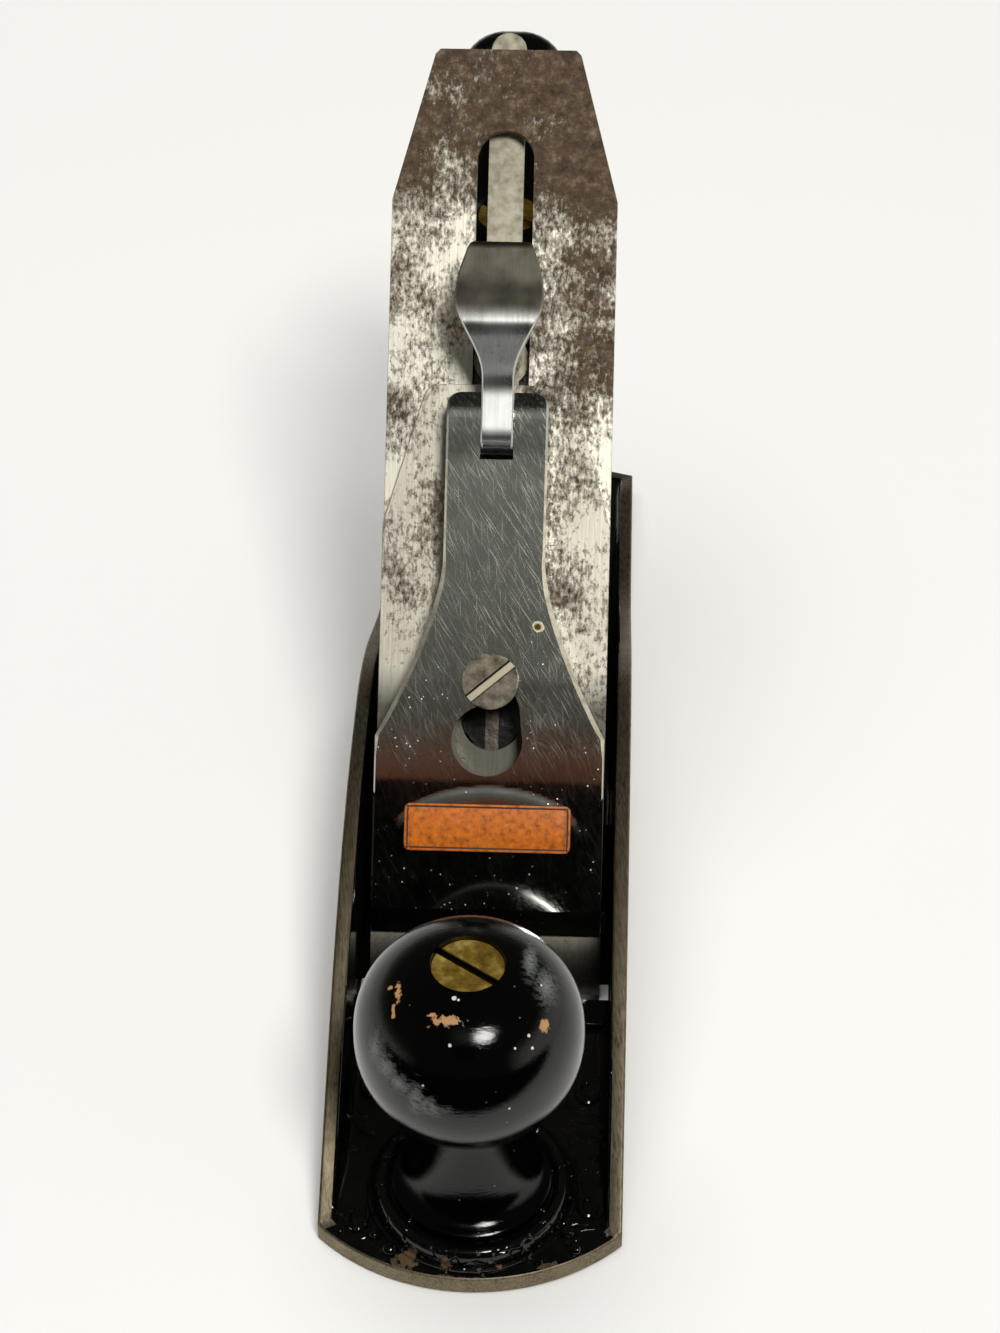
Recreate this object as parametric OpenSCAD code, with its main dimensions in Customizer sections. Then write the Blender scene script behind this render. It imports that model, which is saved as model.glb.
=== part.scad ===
// Iron smoothing plane with a bevel-down iron, a lever cap and a screw depth adjuster.
// Millimetres. The origin is the middle of the sole's underside; the toe points along -Y.

/* [Body casting] */
// Length of the sole, toe to heel
sole_len = 235; // [225:1:255]
// Width across the two cheeks
body_w = 54.4; // [54:0.2:62]
// Thickness of the sole
sole_t = 4; // [3.6:0.1:4.6]
// Thickness of a cheek
cheek_t = 2.9; // [2.4:0.1:3]
// Height of the cheeks at their highest
cheek_h = 35.4; // [30:0.2:40]
// Height of the low rim beside the handle
rim_h = 7; // [5.5:0.5:9]
// Length over which the cheek climbs from the toe
climb_len = 97; // [90:1:98]
// Length over which the cheek falls towards the heel
fall_len = 78; // [66:1:84]
// Radius of the toe seen from above
toe_r = 39; // [34:1:48]
// Radius of the heel seen from above
heel_r = 62; // [50:1:90]
// Distance from the toe's tip back to the cutting edge
toe_to_edge = 70; // [66:1:74]
// Width of the mouth across the sole
mouth_w = 47.8; // [47.4:0.1:48.2]
// Gap in the mouth ahead of the cutting edge
mouth_gap = 1.8; // [1.4:0.1:3]
// Height of the frog's seat above the ground
seat_h = 13; // [12.8:0.1:13.4]
// Height of the front ledge that carries the frog's nose
ledge_h = 7; // [6.4:0.1:7.6]

/* [Cutting iron] */
// Angle of the bed above the sole
bed_angle = 45; // [44.5:0.25:45.5]
// Width of the cutting iron
iron_w = 44.4; // [43:0.1:44.6]
// Thickness of the cutting iron
iron_t = 2.1; // [1.9:0.05:2.2]
// Length of the cutting iron
iron_len = 186.2; // [180:0.5:192]
// Distance from the edge to the shoulders where the iron narrows
shoulder_s = 156; // [150:0.5:160]
// Width of the iron at its top
iron_top_w = 28.8; // [26:0.2:34]
// Angle of the ground bevel
bevel_angle = 25; // [22:1:32]
// Width of the slot in the iron
slot_w = 11.15; // [11.1:0.05:11.4]
// Distance from the edge to the slot's round top
slot_top_s = 170; // [166:0.5:174]
// Diameter of the round hole at the slot's lower end
keyhole_d = 18; // [17:0.5:22]
// Distance from the edge to the middle of that hole
keyhole_s = 52; // [46:0.5:54]

/* [Cap iron] */
// Thickness of the cap iron
cap_t = 1.9; // [1.7:0.05:2]
// Length of the cap iron
cap_len = 118.3; // [116:0.5:122]
// Width of the cap iron at its top
cap_top_w = 29; // [24:0.5:36]
// Distance from the edge to where the cap iron starts to narrow
cap_taper_s = 91.6; // [84:0.5:98]
// How far the cap iron's front sits behind the cutting edge
cap_setback = 0.9; // [0.5:0.1:1.6]
// Height of the hump behind the cap iron's front
hump_h = 4.4; // [3.8:0.1:4.4]
// Length of the hump along the iron
hump_len = 20.2; // [18:0.2:22]
// Distance from the edge to the cap iron's screw
cap_screw_s = 95; // [94:0.5:96]
// Diameter of the cap iron screw's head
cap_screw_head_d = 15.8; // [14:0.2:16]
// Diameter of the cap iron screw's shank
cap_screw_d = 9.2; // [7:0.2:9.6]

/* [Lever cap] */
// Width of the lever cap below its shoulders
lever_cap_w = 44; // [42:0.2:44.4]
// Width of the lever cap's neck
lever_neck_w = 19.6; // [18:0.2:22]
// Distance from the edge to the lever cap's front
lever_front_s = 12.4; // [12:0.2:13]
// Distance from the edge to the lever cap's shoulders
lever_shoulder_s = 50; // [46:0.5:53]
// Distance from the edge to where the neck becomes straight
lever_neck_s = 84; // [78:0.5:88]
// Distance from the edge to the lever cap's top
lever_top_s = 116.6; // [115:0.2:118]
// Height of the lever cap's face above the iron at the screw
lever_face = 9.8; // [9:0.1:10.4]
// Thickness of the lever cap's front edge
lever_edge_t = 1; // [0.8:0.1:1.6]
// Distance from the edge to the lever cap screw
cap_hole_s = 60.6; // [60:0.2:61.2]
// Diameter of the lever cap screw's head
lever_screw_head_d = 10.8; // [10:0.1:11]
// Diameter of the lever cap screw's shank
lever_screw_d = 6.3; // [5.6:0.1:6.6]
// Distance from the edge to the cam's pin
cam_s = 109; // [108:0.2:110]
// Height of the cam's pin above the iron
cam_n = 8; // [7.8:0.05:8.1]
// Diameter of the cam's pin
cam_pin_d = 3.4; // [2.8:0.1:3.8]
// Width of the cam lever's stem
cam_stem_w = 6.2; // [5.4:0.1:7]
// Width of the cam lever's thumb end
cam_thumb_w = 17; // [14:0.5:19]
// Distance from the edge to the cam lever's end
cam_end_s = 145; // [141:0.5:149]
// Thickness of the flat spring under the lever cap
spring_t = 0.7; // [0.5:0.05:0.75]

/* [Frog and adjusters] */
// Width of the frog
frog_w = 43; // [42:0.2:45]
// Thickness of the frog's bed
frog_plate_t = 5.9; // [5.7:0.1:6.1]
// Distance from the edge to the frog's top
frog_top_s = 131; // [130:0.5:134]
// Distance from the edge back to the frog's rear wall
frog_rear = 52; // [51.6:0.1:52.3]
// Travel of the frog each way from its middle place
frog_travel = 0.8; // [0.6:0.1:0.9]
// Diameter of the frog screws
frog_screw_d = 4.8; // [4:0.1:5]
// Distance between the two frog screws
frog_screw_gap = 18.6; // [18:0.2:19]
// Distance from the edge to the lever's pin along the bed
yoke_s = 78; // [77.6:0.1:78.4]
// Depth of that pin below the iron's face
yoke_n = 12; // [11.9:0.05:12.1]
// Distance from that pin down to the depth screw
yoke_reach = 17; // [16.9:0.05:17.2]
// Diameter of the depth wheel
wheel_d = 26; // [24:0.2:26.2]
// Thickness of the depth wheel's rim
wheel_t = 9; // [7:0.2:9.6]
// Diameter of the depth screw
stud_d = 6.3; // [5.6:0.1:6.6]
// Width of the groove that the fork sits in
groove_w = 4.4; // [4.3:0.05:4.6]
// Thickness of the fork
fork_t = 2; // [1.6:0.05:2.1]
// Distance from the edge to the side lever's pivot
side_pivot_s = 125; // [124:0.5:126]
// Distance between the side lever's pivot and its disc
disc_reach = 12; // [11.5:0.1:12.4]
// Diameter of the side lever's disc
disc_d = 10.9; // [10.4:0.05:10.95]
// Width of the side lever
side_lever_w = 7; // [6:0.1:7.4]
// Distance from the edge to the side lever's end
side_end_s = 190.5; // [186:0.5:194]

/* [Knob and handle] */
// Distance from the toe's tip back to the knob's middle
knob_from_toe = 20.3; // [19.5:0.1:22]
// Largest diameter of the knob
knob_d = 39.7; // [34:0.1:40.5]
// Height of the knob's widest place above its seat
knob_mid_h = 40.1; // [38:0.1:44]
// Height from the widest place to the crown
knob_crown = 17.9; // [15:0.1:19]
// How full the knob's shoulders are, where 2 makes them an ellipse
knob_fullness = 2.4; // [2:0.1:3]
// Diameter of the knob's foot
knob_foot_d = 28.8; // [26:0.2:29]
// Diameter of the knob's neck
knob_neck_d = 15.5; // [14:0.5:18]
// Thickness of the handle
tote_t = 22; // [19:0.5:24]
// Length of the handle's base
tote_len = 69; // [66:0.5:70]
// Height of the handle above the casting
tote_h = 116; // [108:0.5:117]
// Distance from the cutting edge back to the handle
tote_y = 88; // [87:0.5:90]
// Forward lean of the handle's rod
tote_lean = 5.3; // [4.5:0.1:6.5]
// Diameter of the rods through the knob and the handle
rod_d = 5.5; // [5:0.1:5.8]
// Diameter of the brass nuts' heads
nut_head_d = 12.4; // [11:0.1:12.6]
// Diameter of the brass nuts' barrels
nut_barrel_d = 9.2; // [8:0.1:9.6]

/* [Hidden] */
$fn = 96;

// Clearances: a thread or running fit, a sliding neighbour, and a cut that runs past a face
fit_gap = 0.05;
slide_gap = 0.3;
past = 1;

// The edge stands just clear of the ground when the plane rests on its sole
edge_lift = 0.1;
edge_y = toe_to_edge - sole_len / 2;
heel_from_edge = sole_len - toe_to_edge;
half_body = body_w / 2;

// A place s up the bed from the cutting edge and n above the iron's face, as [y, z]
function bed_y(s, n) = s * cos(bed_angle) - n * sin(bed_angle);
function bed_z(s, n) = edge_lift + s * sin(bed_angle) + n * cos(bed_angle);
function bed_pt(s, n) = [bed_y(s, n), bed_z(s, n)];

// The y at height z, and the z at a given y, of a line that lies d below the iron's face
function below_y(z, d) = (z - edge_lift) / tan(bed_angle) + d / sin(bed_angle);
function below_z(y, d) = edge_lift + (y - d / sin(bed_angle)) * tan(bed_angle);

// Points of a smooth open curve through a list of points
function curve_point(a, b, c, d, t) =
    0.5 * (2 * b + (c - a) * t + (2 * a - 5 * b + 4 * c - d) * t * t
           + (3 * b - a - 3 * c + d) * t * t * t);
function curve(p, steps) = concat(
    [for (i = [0:len(p) - 2]) for (k = [0:steps - 1])
        curve_point(p[max(i - 1, 0)], p[i], p[i + 1], p[min(i + 2, len(p) - 1)], k / steps)],
    [p[len(p) - 1]]);

// Frames: on the bed (x, s, n), from the cutting edge (x, y, z), and a slab w wide across X
module on_bed() { translate([0, edge_y, edge_lift]) rotate([bed_angle, 0, 0]) children(); }
module from_edge() { translate([0, edge_y, 0]) children(); }
module across(w) { rotate([90, 0, 90]) linear_extrude(w, center = true) children(); }
module both_sides(x) { for (side = [-1, 1]) translate([side * x, 0, 0]) children(); }
module rod_x(r, len) { rotate([0, 90, 0]) cylinder(r = r, h = len, center = true); }
module rod_y(r, len) { rotate([-90, 0, 0]) cylinder(r = r, h = len); }

// A screw slot cut along X, its floor at z = 0
module screw_slot(w, depth, across_d) {
    translate([-across_d / 2 - past, -w / 2, 0]) cube([across_d + 2 * past, w, depth + past]);
}

// Body casting: sole, cheeks, mouth, seat for the frog, ring for the knob and pad for the handle
cheek_start = -60;
cheek_flat = 8;
heel_drop = 16;
curve_parts = 24;
mouth_relief_h = 1.6;
mouth_relief_run = 5;
mouth_pad_len = 9.3;
mouth_pad_h = 1.5;
ledge_w = 47.4;
seat_front = 17;
seat_rear = 48;
seat_w = 40;
knob_seat_h = 6;
knob_ring_gap = 1.9;
knob_ring_r = knob_foot_d / 2 + knob_ring_gap;
knob_ring_t = 1.5;
knob_y = knob_from_toe - sole_len / 2;
tote_seat_h = 6.2;
tote_pad_w = 18;
tote_pad_inset = 6;
rod_foot_h = 1.5;
tote_rod_in = 49.6;
rod_foot_y = tote_y + tote_rod_in;
adjust_z = 9.6;
adjust_r = 2.4;
adjust_depth = 20;
frog_screw_y = 30;
frog_screw_end = 5.6;
// Depth below the iron's face of the sole's slope behind the mouth
mouth_back_d = iron_t + slide_gap + frog_travel * sin(bed_angle);

module sole_outline() {
    intersection() {
        square([body_w, sole_len], center = true);
        union() {
            translate([0, toe_r - sole_len / 2]) circle(toe_r);
            translate([0, sole_len / 2 - heel_r]) circle(heel_r);
            translate([-half_body, toe_r - sole_len / 2])
                square([body_w, sole_len - toe_r - heel_r]);
        }
    }
}

module cheek_profile() {
    climb_end = cheek_start + climb_len;
    fall_start = climb_end + cheek_flat;
    polygon(concat(
        [[cheek_start, 0]],
        [for (i = [0:curve_parts])
            [cheek_start + climb_len * i / curve_parts,
             sole_t + (cheek_h - sole_t) * sin(90 * i / curve_parts)]],
        [for (i = [0:curve_parts])
            [fall_start + fall_len * i / curve_parts,
             rim_h + (cheek_h - rim_h) * (1 + cos(180 * i / curve_parts)) / 2]],
        [for (i = [0:curve_parts / 2])
            [heel_from_edge - heel_drop * (1 - 2 * i / curve_parts),
             sole_t + (rim_h - sole_t) * cos(180 * i / curve_parts)]],
        [[heel_from_edge, 0]]));
}

module mouth_cut() {
    top = ledge_h + past;
    across(mouth_w) polygon([
        [-mouth_gap, -past],
        [-mouth_gap, mouth_relief_h],
        [-mouth_gap - mouth_relief_run, top],
        [below_y(top, mouth_back_d), top],
        [below_y(-past, mouth_back_d), -past]]);
}

module knob_ring() {
    rotate_extrude() union() {
        square([knob_ring_r, knob_seat_h]);
        translate([knob_ring_r, 0]) square([knob_ring_t, knob_seat_h]);
        translate([knob_ring_r, knob_seat_h]) circle(knob_ring_t);
    }
}

module plane_bottom() {
    color([0.03, 0.03, 0.03]) difference() {
        union() {
            linear_extrude(sole_t) sole_outline();
            intersection() {
                linear_extrude(cheek_h + past) sole_outline();
                both_sides(half_body - cheek_t / 2) from_edge() across(cheek_t) cheek_profile();
            }
            from_edge() translate([-ledge_w / 2, -mouth_gap - mouth_pad_len, 0])
                cube([ledge_w, mouth_pad_len, sole_t + mouth_pad_h]);
            from_edge() translate([-ledge_w / 2, 0, 0]) cube([ledge_w, seat_front, ledge_h]);
            from_edge() translate([-seat_w / 2, seat_front, 0])
                cube([seat_w, seat_rear - seat_front, seat_h]);
            translate([0, knob_y, 0]) knob_ring();
            from_edge() for (end = [tote_y + tote_pad_inset, tote_y + tote_len - tote_pad_inset])
                translate([0, end, 0]) cylinder(d = tote_pad_w, h = tote_seat_h);
            from_edge() translate([-tote_pad_w / 2, tote_y + tote_pad_inset, 0])
                cube([tote_pad_w, tote_len - 2 * tote_pad_inset, tote_seat_h]);
        }
        from_edge() mouth_cut();
        translate([0, knob_y, knob_seat_h]) cylinder(r = knob_ring_r - knob_ring_t, h = knob_ring_t + past);
        translate([0, knob_y, rod_foot_h]) cylinder(r = rod_d / 2 + fit_gap, h = knob_seat_h);
        from_edge() tote_rod_line() cylinder(r = rod_d / 2 + fit_gap, h = tote_seat_h);
        from_edge() both_sides(frog_screw_gap / 2) translate([0, frog_screw_y, frog_screw_end])
            cylinder(r = frog_screw_d / 2 + fit_gap, h = seat_h);
        from_edge() translate([0, seat_rear - adjust_depth, adjust_z])
            rod_y(adjust_r + fit_gap, adjust_depth + past);
    }
}

// Front knob: turned hardwood on a threaded rod, held by a slotted brass nut
knob_foot_rim = 2.6;
knob_flare_h = 16.4;
knob_parts = 12;
nut_head_t = 2.2;
nut_barrel_len = 20;
nut_top_drop = 1.4;
nut_bore_in = 0.5;
knob_r = knob_d / 2;
knob_h = knob_mid_h + knob_crown;
knob_nut_top = knob_seat_h + knob_h - nut_top_drop;
nut_slot_w = 1.5;
nut_slot_depth = 1.3;
nut_slot_angle = -35;

module knob() {
    neck_r = knob_neck_d / 2;
    foot_r = knob_foot_d / 2;
    dip = acos(neck_r / knob_r);
    color([0.03, 0.03, 0.03]) translate([0, knob_y, knob_seat_h]) difference() {
        rotate_extrude() polygon(concat(
            [[0, 0], [foot_r, 0]],
            [for (a = [0:10:90])
                [foot_r - (foot_r - neck_r) * sin(a), knob_foot_rim + knob_flare_h * (1 - cos(a))]],
            [for (i = [0:knob_parts]) let (a = -dip * (1 - i / knob_parts))
                [knob_r * cos(a), knob_mid_h + knob_r * sin(a)]],
            [for (i = [1:knob_parts]) let (a = 90 * i / knob_parts)
                [knob_r * pow(cos(a), 2 / knob_fullness),
                 knob_mid_h + knob_crown * pow(sin(a), 2 / knob_fullness)]]));
        translate([0, 0, -past]) cylinder(r = rod_d / 2 + slide_gap, h = knob_h + 2 * past);
        translate([0, 0, knob_h - nut_top_drop - nut_head_t])
            cylinder(r = nut_head_d / 2 + fit_gap, h = nut_head_t + 2 * past);
        translate([0, 0, knob_h - nut_top_drop - nut_head_t - nut_barrel_len - past])
            cylinder(r = nut_barrel_d / 2 + fit_gap, h = nut_barrel_len + 2 * past);
    }
}

module knob_rod() {
    color([0.4, 0.38, 0.35]) translate([0, knob_y, rod_foot_h])
        cylinder(d = rod_d, h = knob_nut_top - nut_head_t - rod_foot_h - past);
}

// Slotted brass nut with its top at z = 0
module brass_nut() {
    color([0.55, 0.43, 0.16]) difference() {
        union() {
            translate([0, 0, -nut_head_t]) cylinder(d = nut_head_d, h = nut_head_t);
            translate([0, 0, -nut_head_t - nut_barrel_len])
                cylinder(d = nut_barrel_d, h = nut_barrel_len + fit_gap);
        }
        translate([0, 0, -nut_head_t - nut_barrel_len - past])
            cylinder(r = rod_d / 2 + fit_gap, h = nut_barrel_len + past + nut_bore_in);
        rotate([0, 0, nut_slot_angle]) translate([0, 0, -nut_slot_depth])
            screw_slot(nut_slot_w, nut_slot_depth, nut_head_d);
    }
}

module knob_nut() { translate([0, knob_y, knob_nut_top]) brass_nut(); }

// Handle: a sawn and rounded hardwood grip with a horn, on a long rod that leans forward
tote_round = 5;
tote_side_steps = 4;
tote_curve_steps = 4;
tote_seat_share = 0.775;
tote_fade_h = 24;
tote_nut_drop = 0.9;
nut_access_h = 9;
// Outline from the base's front corner over the horn to its rear corner, as shares of size
TOTE_SHAPE = [
    [0.000, 0.000], [-0.007, 0.059], [0.123, 0.131], [0.265, 0.220], [0.336, 0.362],
    [0.362, 0.500], [0.396, 0.634], [0.470, 0.750], [0.594, 0.776], [0.703, 0.790],
    [0.830, 0.897], [0.950, 0.975], [1.036, 0.980], [1.092, 0.938], [1.080, 0.884],
    [1.020, 0.846], [0.940, 0.800], [0.859, 0.728], [0.822, 0.642], [0.800, 0.560],
    [0.786, 0.470], [0.791, 0.392], [0.812, 0.336], [0.870, 0.216], [0.949, 0.125],
    [1.004, 0.060], [1.000, 0.000]
];

// The handle's rod, from its foot in the casting, along +Z
module tote_rod_line() {
    translate([0, rod_foot_y, rod_foot_h]) rotate([tote_lean, 0, 0]) children();
}
tote_rod_top = (tote_seat_h + tote_seat_share * tote_h - rod_foot_h) / cos(tote_lean)
    - tote_nut_drop;

function tote_outline() = [for (p = curve(TOTE_SHAPE, tote_curve_steps))
    [tote_y + p[0] * tote_len, tote_seat_h + p[1] * tote_h]];

// How far the outline draws in where a side is rounded, fading out at the flat base
function tote_inset(p, i, inset) =
    let (n = len(p), a = p[max(i - 1, 0)], b = p[min(i + 1, n - 1)], d = (b - a) / norm(b - a),
         fade = min(1, max(0, (p[i][1] - tote_seat_h) / tote_fade_h)))
    p[i] + inset * fade * [d[1], -d[0]];

module tote() {
    outline = tote_outline();
    n = len(outline);
    angles = concat([for (i = [-tote_side_steps:0]) 90 * i / tote_side_steps],
                    [for (i = [0:tote_side_steps]) 90 * i / tote_side_steps]);
    layers = len(angles);
    points = [for (k = [0:layers - 1]) for (i = [0:n - 1])
        let (a = angles[k], side = k <= tote_side_steps ? -1 : 1,
             q = tote_inset(outline, i, tote_round * (1 - cos(a))))
        [side * (tote_t / 2 - tote_round) + tote_round * sin(a), q[0], q[1]]];
    // Each flat side is a ladder of rungs between the front edge and the rear edge
    top = (layers - 1) * n;
    rungs = floor(n / 2) - 1;
    tip = n % 2 == 1 ? [[rungs, rungs + 1, rungs + 2]] : [];
    faces = concat(
        [for (i = [0:rungs - 1]) [i, i + 1, n - 2 - i, n - 1 - i]], tip,
        [for (i = [0:rungs - 1]) [top + n - 1 - i, top + n - 2 - i, top + i + 1, top + i]],
        [for (f = tip) [top + f[2], top + f[1], top + f[0]]],
        [for (k = [0:layers - 2]) for (i = [0:n - 1]) let (j = (i + 1) % n)
            [k * n + j, k * n + i, (k + 1) * n + i, (k + 1) * n + j]]);
    color([0.03, 0.03, 0.03]) from_edge() difference() {
        polyhedron(points, faces);
        tote_rod_line() {
            cylinder(r = rod_d / 2 + slide_gap, h = tote_rod_top + past);
            translate([0, 0, tote_rod_top - nut_head_t])
                cylinder(r = nut_head_d / 2 + fit_gap, h = nut_head_t + nut_access_h);
            translate([0, 0, tote_rod_top - nut_head_t - nut_barrel_len - past])
                cylinder(r = nut_barrel_d / 2 + fit_gap, h = nut_barrel_len + 2 * past);
        }
    }
}

module tote_rod() {
    color([0.4, 0.38, 0.35]) from_edge() tote_rod_line()
        cylinder(d = rod_d, h = tote_rod_top - nut_head_t - past);
}

module tote_nut() { from_edge() tote_rod_line() translate([0, 0, tote_rod_top]) brass_nut(); }

// Frog: the casting that beds the iron, screwed down on the seat
frog_wall = 4;
frog_base_t = 4;
frog_rear_t = 6;
frog_rib = 3.6;
pocket_w = 15;
pocket_front = 20;
pocket_rear = 39;
frog_taper_s = 84;
frog_top_w = 22;
frog_head_run = 11;
frog_toe_y = seat_front - frog_travel - slide_gap;
frog_head_r = 4.8;
frog_head_t = 3;
washer_r = 5.8;
washer_t = 1;
boss_r = 6.3;
boss_end = 56.2;
boss_start = 50;
lever_hole_n = -9;
lever_boss_n = -13;
recess_n = -6;
recess_side = 1.4;
recess_half = cap_screw_head_d / 2 + recess_side;
recess_back = 2;
yoke_slot_half = 4.4;
yoke_slot_low = 3.5;
yoke_slot_high = 5;
lug_r = 4;
lug_t = 3.5;
pin_r = 1.6;
side_floor_n = -5.3;
side_recess_half = 7.2;
rivet_r = 2.2;
depth_y = bed_y(yoke_s, -yoke_n);
yoke_z = bed_z(yoke_s, -yoke_n);
depth_z = yoke_z - yoke_reach;
clip_screw_r = 1.8;
clip_screw_z = 18.9;
clip_screw_len = 5;

module frog_envelope() {
    back = iron_t + frog_plate_t;
    polygon([
        [below_y(ledge_h, iron_t), ledge_h],
        bed_pt(frog_top_s, -iron_t),
        bed_pt(frog_top_s, -back),
        [frog_rear, below_z(frog_rear, back)],
        [frog_rear, seat_h],
        [frog_toe_y, seat_h],
        [frog_toe_y, ledge_h]]);
}

module frog_plate() {
    intersection() {
        from_edge() across(frog_w) frog_envelope();
        on_bed() translate([0, 0, -iron_t - frog_plate_t]) linear_extrude(frog_plate_t) union() {
            polygon([[-frog_w / 2, 0], [frog_w / 2, 0], [frog_w / 2, frog_taper_s],
                     [frog_top_w / 2, frog_top_s - frog_head_run], [frog_top_w / 2, frog_top_s],
                     [-frog_top_w / 2, frog_top_s], [-frog_top_w / 2, frog_top_s - frog_head_run],
                     [-frog_w / 2, frog_taper_s]]);
        }
    }
}

module frog_block(low_y, high_y, high_z) {
    intersection() {
        from_edge() across(frog_w) frog_envelope();
        from_edge() translate([-frog_w / 2, low_y, 0]) cube([frog_w, high_y - low_y, high_z]);
    }
}

module frog_pockets() {
    half = pocket_w / 2;
    from_edge() both_sides(frog_screw_gap / 2) {
        translate([-half, pocket_front - 2 * half, seat_h + frog_base_t])
            cube([pocket_w, pocket_rear - pocket_front + half, frog_rear]);
        translate([0, pocket_rear - half, seat_h + frog_base_t]) cylinder(r = half, h = frog_rear);
        for (shift = [-frog_travel, frog_travel])
            translate([0, frog_screw_y + shift, seat_h - past])
                cylinder(r = frog_screw_d / 2 + slide_gap, h = frog_base_t + 2 * past);
        translate([-frog_screw_d / 2 - slide_gap, frog_screw_y - frog_travel, seat_h - past])
            cube([frog_screw_d + 2 * slide_gap, 2 * frog_travel, frog_base_t + 2 * past]);
    }
}

module frog() {
    color([0.05, 0.05, 0.05]) difference() {
        union() {
            frog_plate();
            from_edge() both_sides(frog_w / 2 - frog_wall / 2) across(frog_wall) frog_envelope_low();
            from_edge() across(frog_rib) frog_envelope_low();
            frog_block(0, frog_rear, seat_h + frog_base_t);
            frog_block(frog_rear - frog_rear_t, frog_rear, frog_rear);
            on_bed() translate([0, cap_hole_s, lever_boss_n])
                cylinder(r = boss_r, h = -lever_boss_n - iron_t);
            from_edge() translate([0, frog_rear - frog_rear_t, depth_z])
                rod_y(boss_r, boss_end - frog_rear + frog_rear_t);
            both_sides(yoke_slot_half + lug_t / 2) on_bed() {
                translate([0, yoke_s, -yoke_n]) rod_x(lug_r, lug_t);
                translate([-lug_t / 2, yoke_s - lug_r, -yoke_n]) cube([lug_t, 2 * lug_r, lug_r + past]);
            }
        }
        frog_pockets();
        on_bed() {
            translate([0, cap_hole_s, lever_hole_n])
                cylinder(r = lever_screw_d / 2 + fit_gap, h = -lever_hole_n);
            translate([-yoke_slot_half, yoke_s - yoke_slot_low, -iron_t - frog_plate_t - past])
                cube([2 * yoke_slot_half, yoke_slot_low + yoke_slot_high, frog_plate_t + 2 * past]);
            translate([-recess_half, cap_screw_s - recess_half, recess_n])
                cube([2 * recess_half, 2 * recess_half + recess_back, -recess_n]);
            translate([-side_recess_half, side_pivot_s - disc_reach - disc_d / 2 - past, side_floor_n])
                cube([2 * side_recess_half, frog_top_s, -side_floor_n]);
            translate([0, side_pivot_s, -iron_t - frog_plate_t - past])
                cylinder(r = rivet_r + fit_gap, h = frog_plate_t + 2 * past);
            translate([0, yoke_s, -yoke_n]) rod_x(pin_r + fit_gap, frog_w);
        }
        from_edge() translate([0, boss_start, depth_z]) rod_y(stud_d / 2 + fit_gap, frog_rear);
        from_edge() translate([0, frog_rear - clip_screw_len, clip_screw_z])
            rod_y(clip_screw_r + fit_gap, clip_screw_len + past);
    }
}

// The part of the frog's side view that stands on the seat, for its side walls and middle rib
module frog_envelope_low() {
    intersection() {
        frog_envelope();
        translate([0, ledge_h]) square([frog_rear, frog_rear]);
    }
}

module frog_screws() {
    head_z = seat_h + frog_base_t + washer_t;
    color([0.3, 0.29, 0.27]) from_edge() both_sides(frog_screw_gap / 2)
        translate([0, frog_screw_y, 0]) difference() {
            union() {
                translate([0, 0, frog_screw_end])
                    cylinder(d = frog_screw_d, h = head_z - frog_screw_end + fit_gap);
                translate([0, 0, head_z]) cylinder(r = frog_head_r, h = frog_head_t);
            }
            translate([0, 0, head_z + frog_head_t - nut_slot_depth])
                screw_slot(nut_slot_w, nut_slot_depth, 2 * frog_head_r);
        }
}

module frog_washers() {
    color([0.35, 0.34, 0.32]) from_edge() both_sides(frog_screw_gap / 2)
        translate([0, frog_screw_y, seat_h + frog_base_t]) difference() {
            cylinder(r = washer_r, h = washer_t);
            translate([0, 0, -past])
                cylinder(r = frog_screw_d / 2 + 2 * fit_gap, h = washer_t + 2 * past);
        }
}

// Frog adjusting screw and the forked clip that ties it to the frog
clip_t = 1.6;
clip_w = 13;
clip_low = 7.5;
clip_high = 22.4;
adjust_neck_r = 1.9;
adjust_flange_r = 3.2;
adjust_flange_t = 1.5;
adjust_head_r = 4.2;
adjust_head_t = 4.7;
clip_gap = 0.2;
neck_gap = 0.15;

module frog_clip() {
    fork_half = adjust_neck_r + neck_gap;
    color([0.4, 0.39, 0.36]) from_edge() difference() {
        translate([-clip_w / 2, frog_rear, clip_low]) cube([clip_w, clip_t, clip_high - clip_low]);
        translate([0, frog_rear - past, adjust_z]) rod_y(fork_half, clip_t + 2 * past);
        translate([-fork_half, frog_rear - past, clip_low - past])
            cube([2 * fork_half, clip_t + 2 * past, adjust_z - clip_low + past]);
        translate([0, frog_rear - past, clip_screw_z])
            rod_y(clip_screw_r + fit_gap, clip_t + 2 * past);
    }
}

module frog_clip_screw() {
    head_t = 1.8;
    head_r = 3.3;
    color([0.35, 0.34, 0.32]) from_edge() translate([0, frog_rear + clip_t, clip_screw_z])
        rotate([-90, 0, 0]) difference() {
            union() {
                cylinder(r = head_r, h = head_t);
                translate([0, 0, -clip_t - clip_screw_len])
                    cylinder(r = clip_screw_r, h = clip_t + clip_screw_len + fit_gap);
            }
            translate([0, 0, head_t / 2]) screw_slot(nut_slot_w / 2, head_t / 2, 2 * head_r);
        }
}

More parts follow.
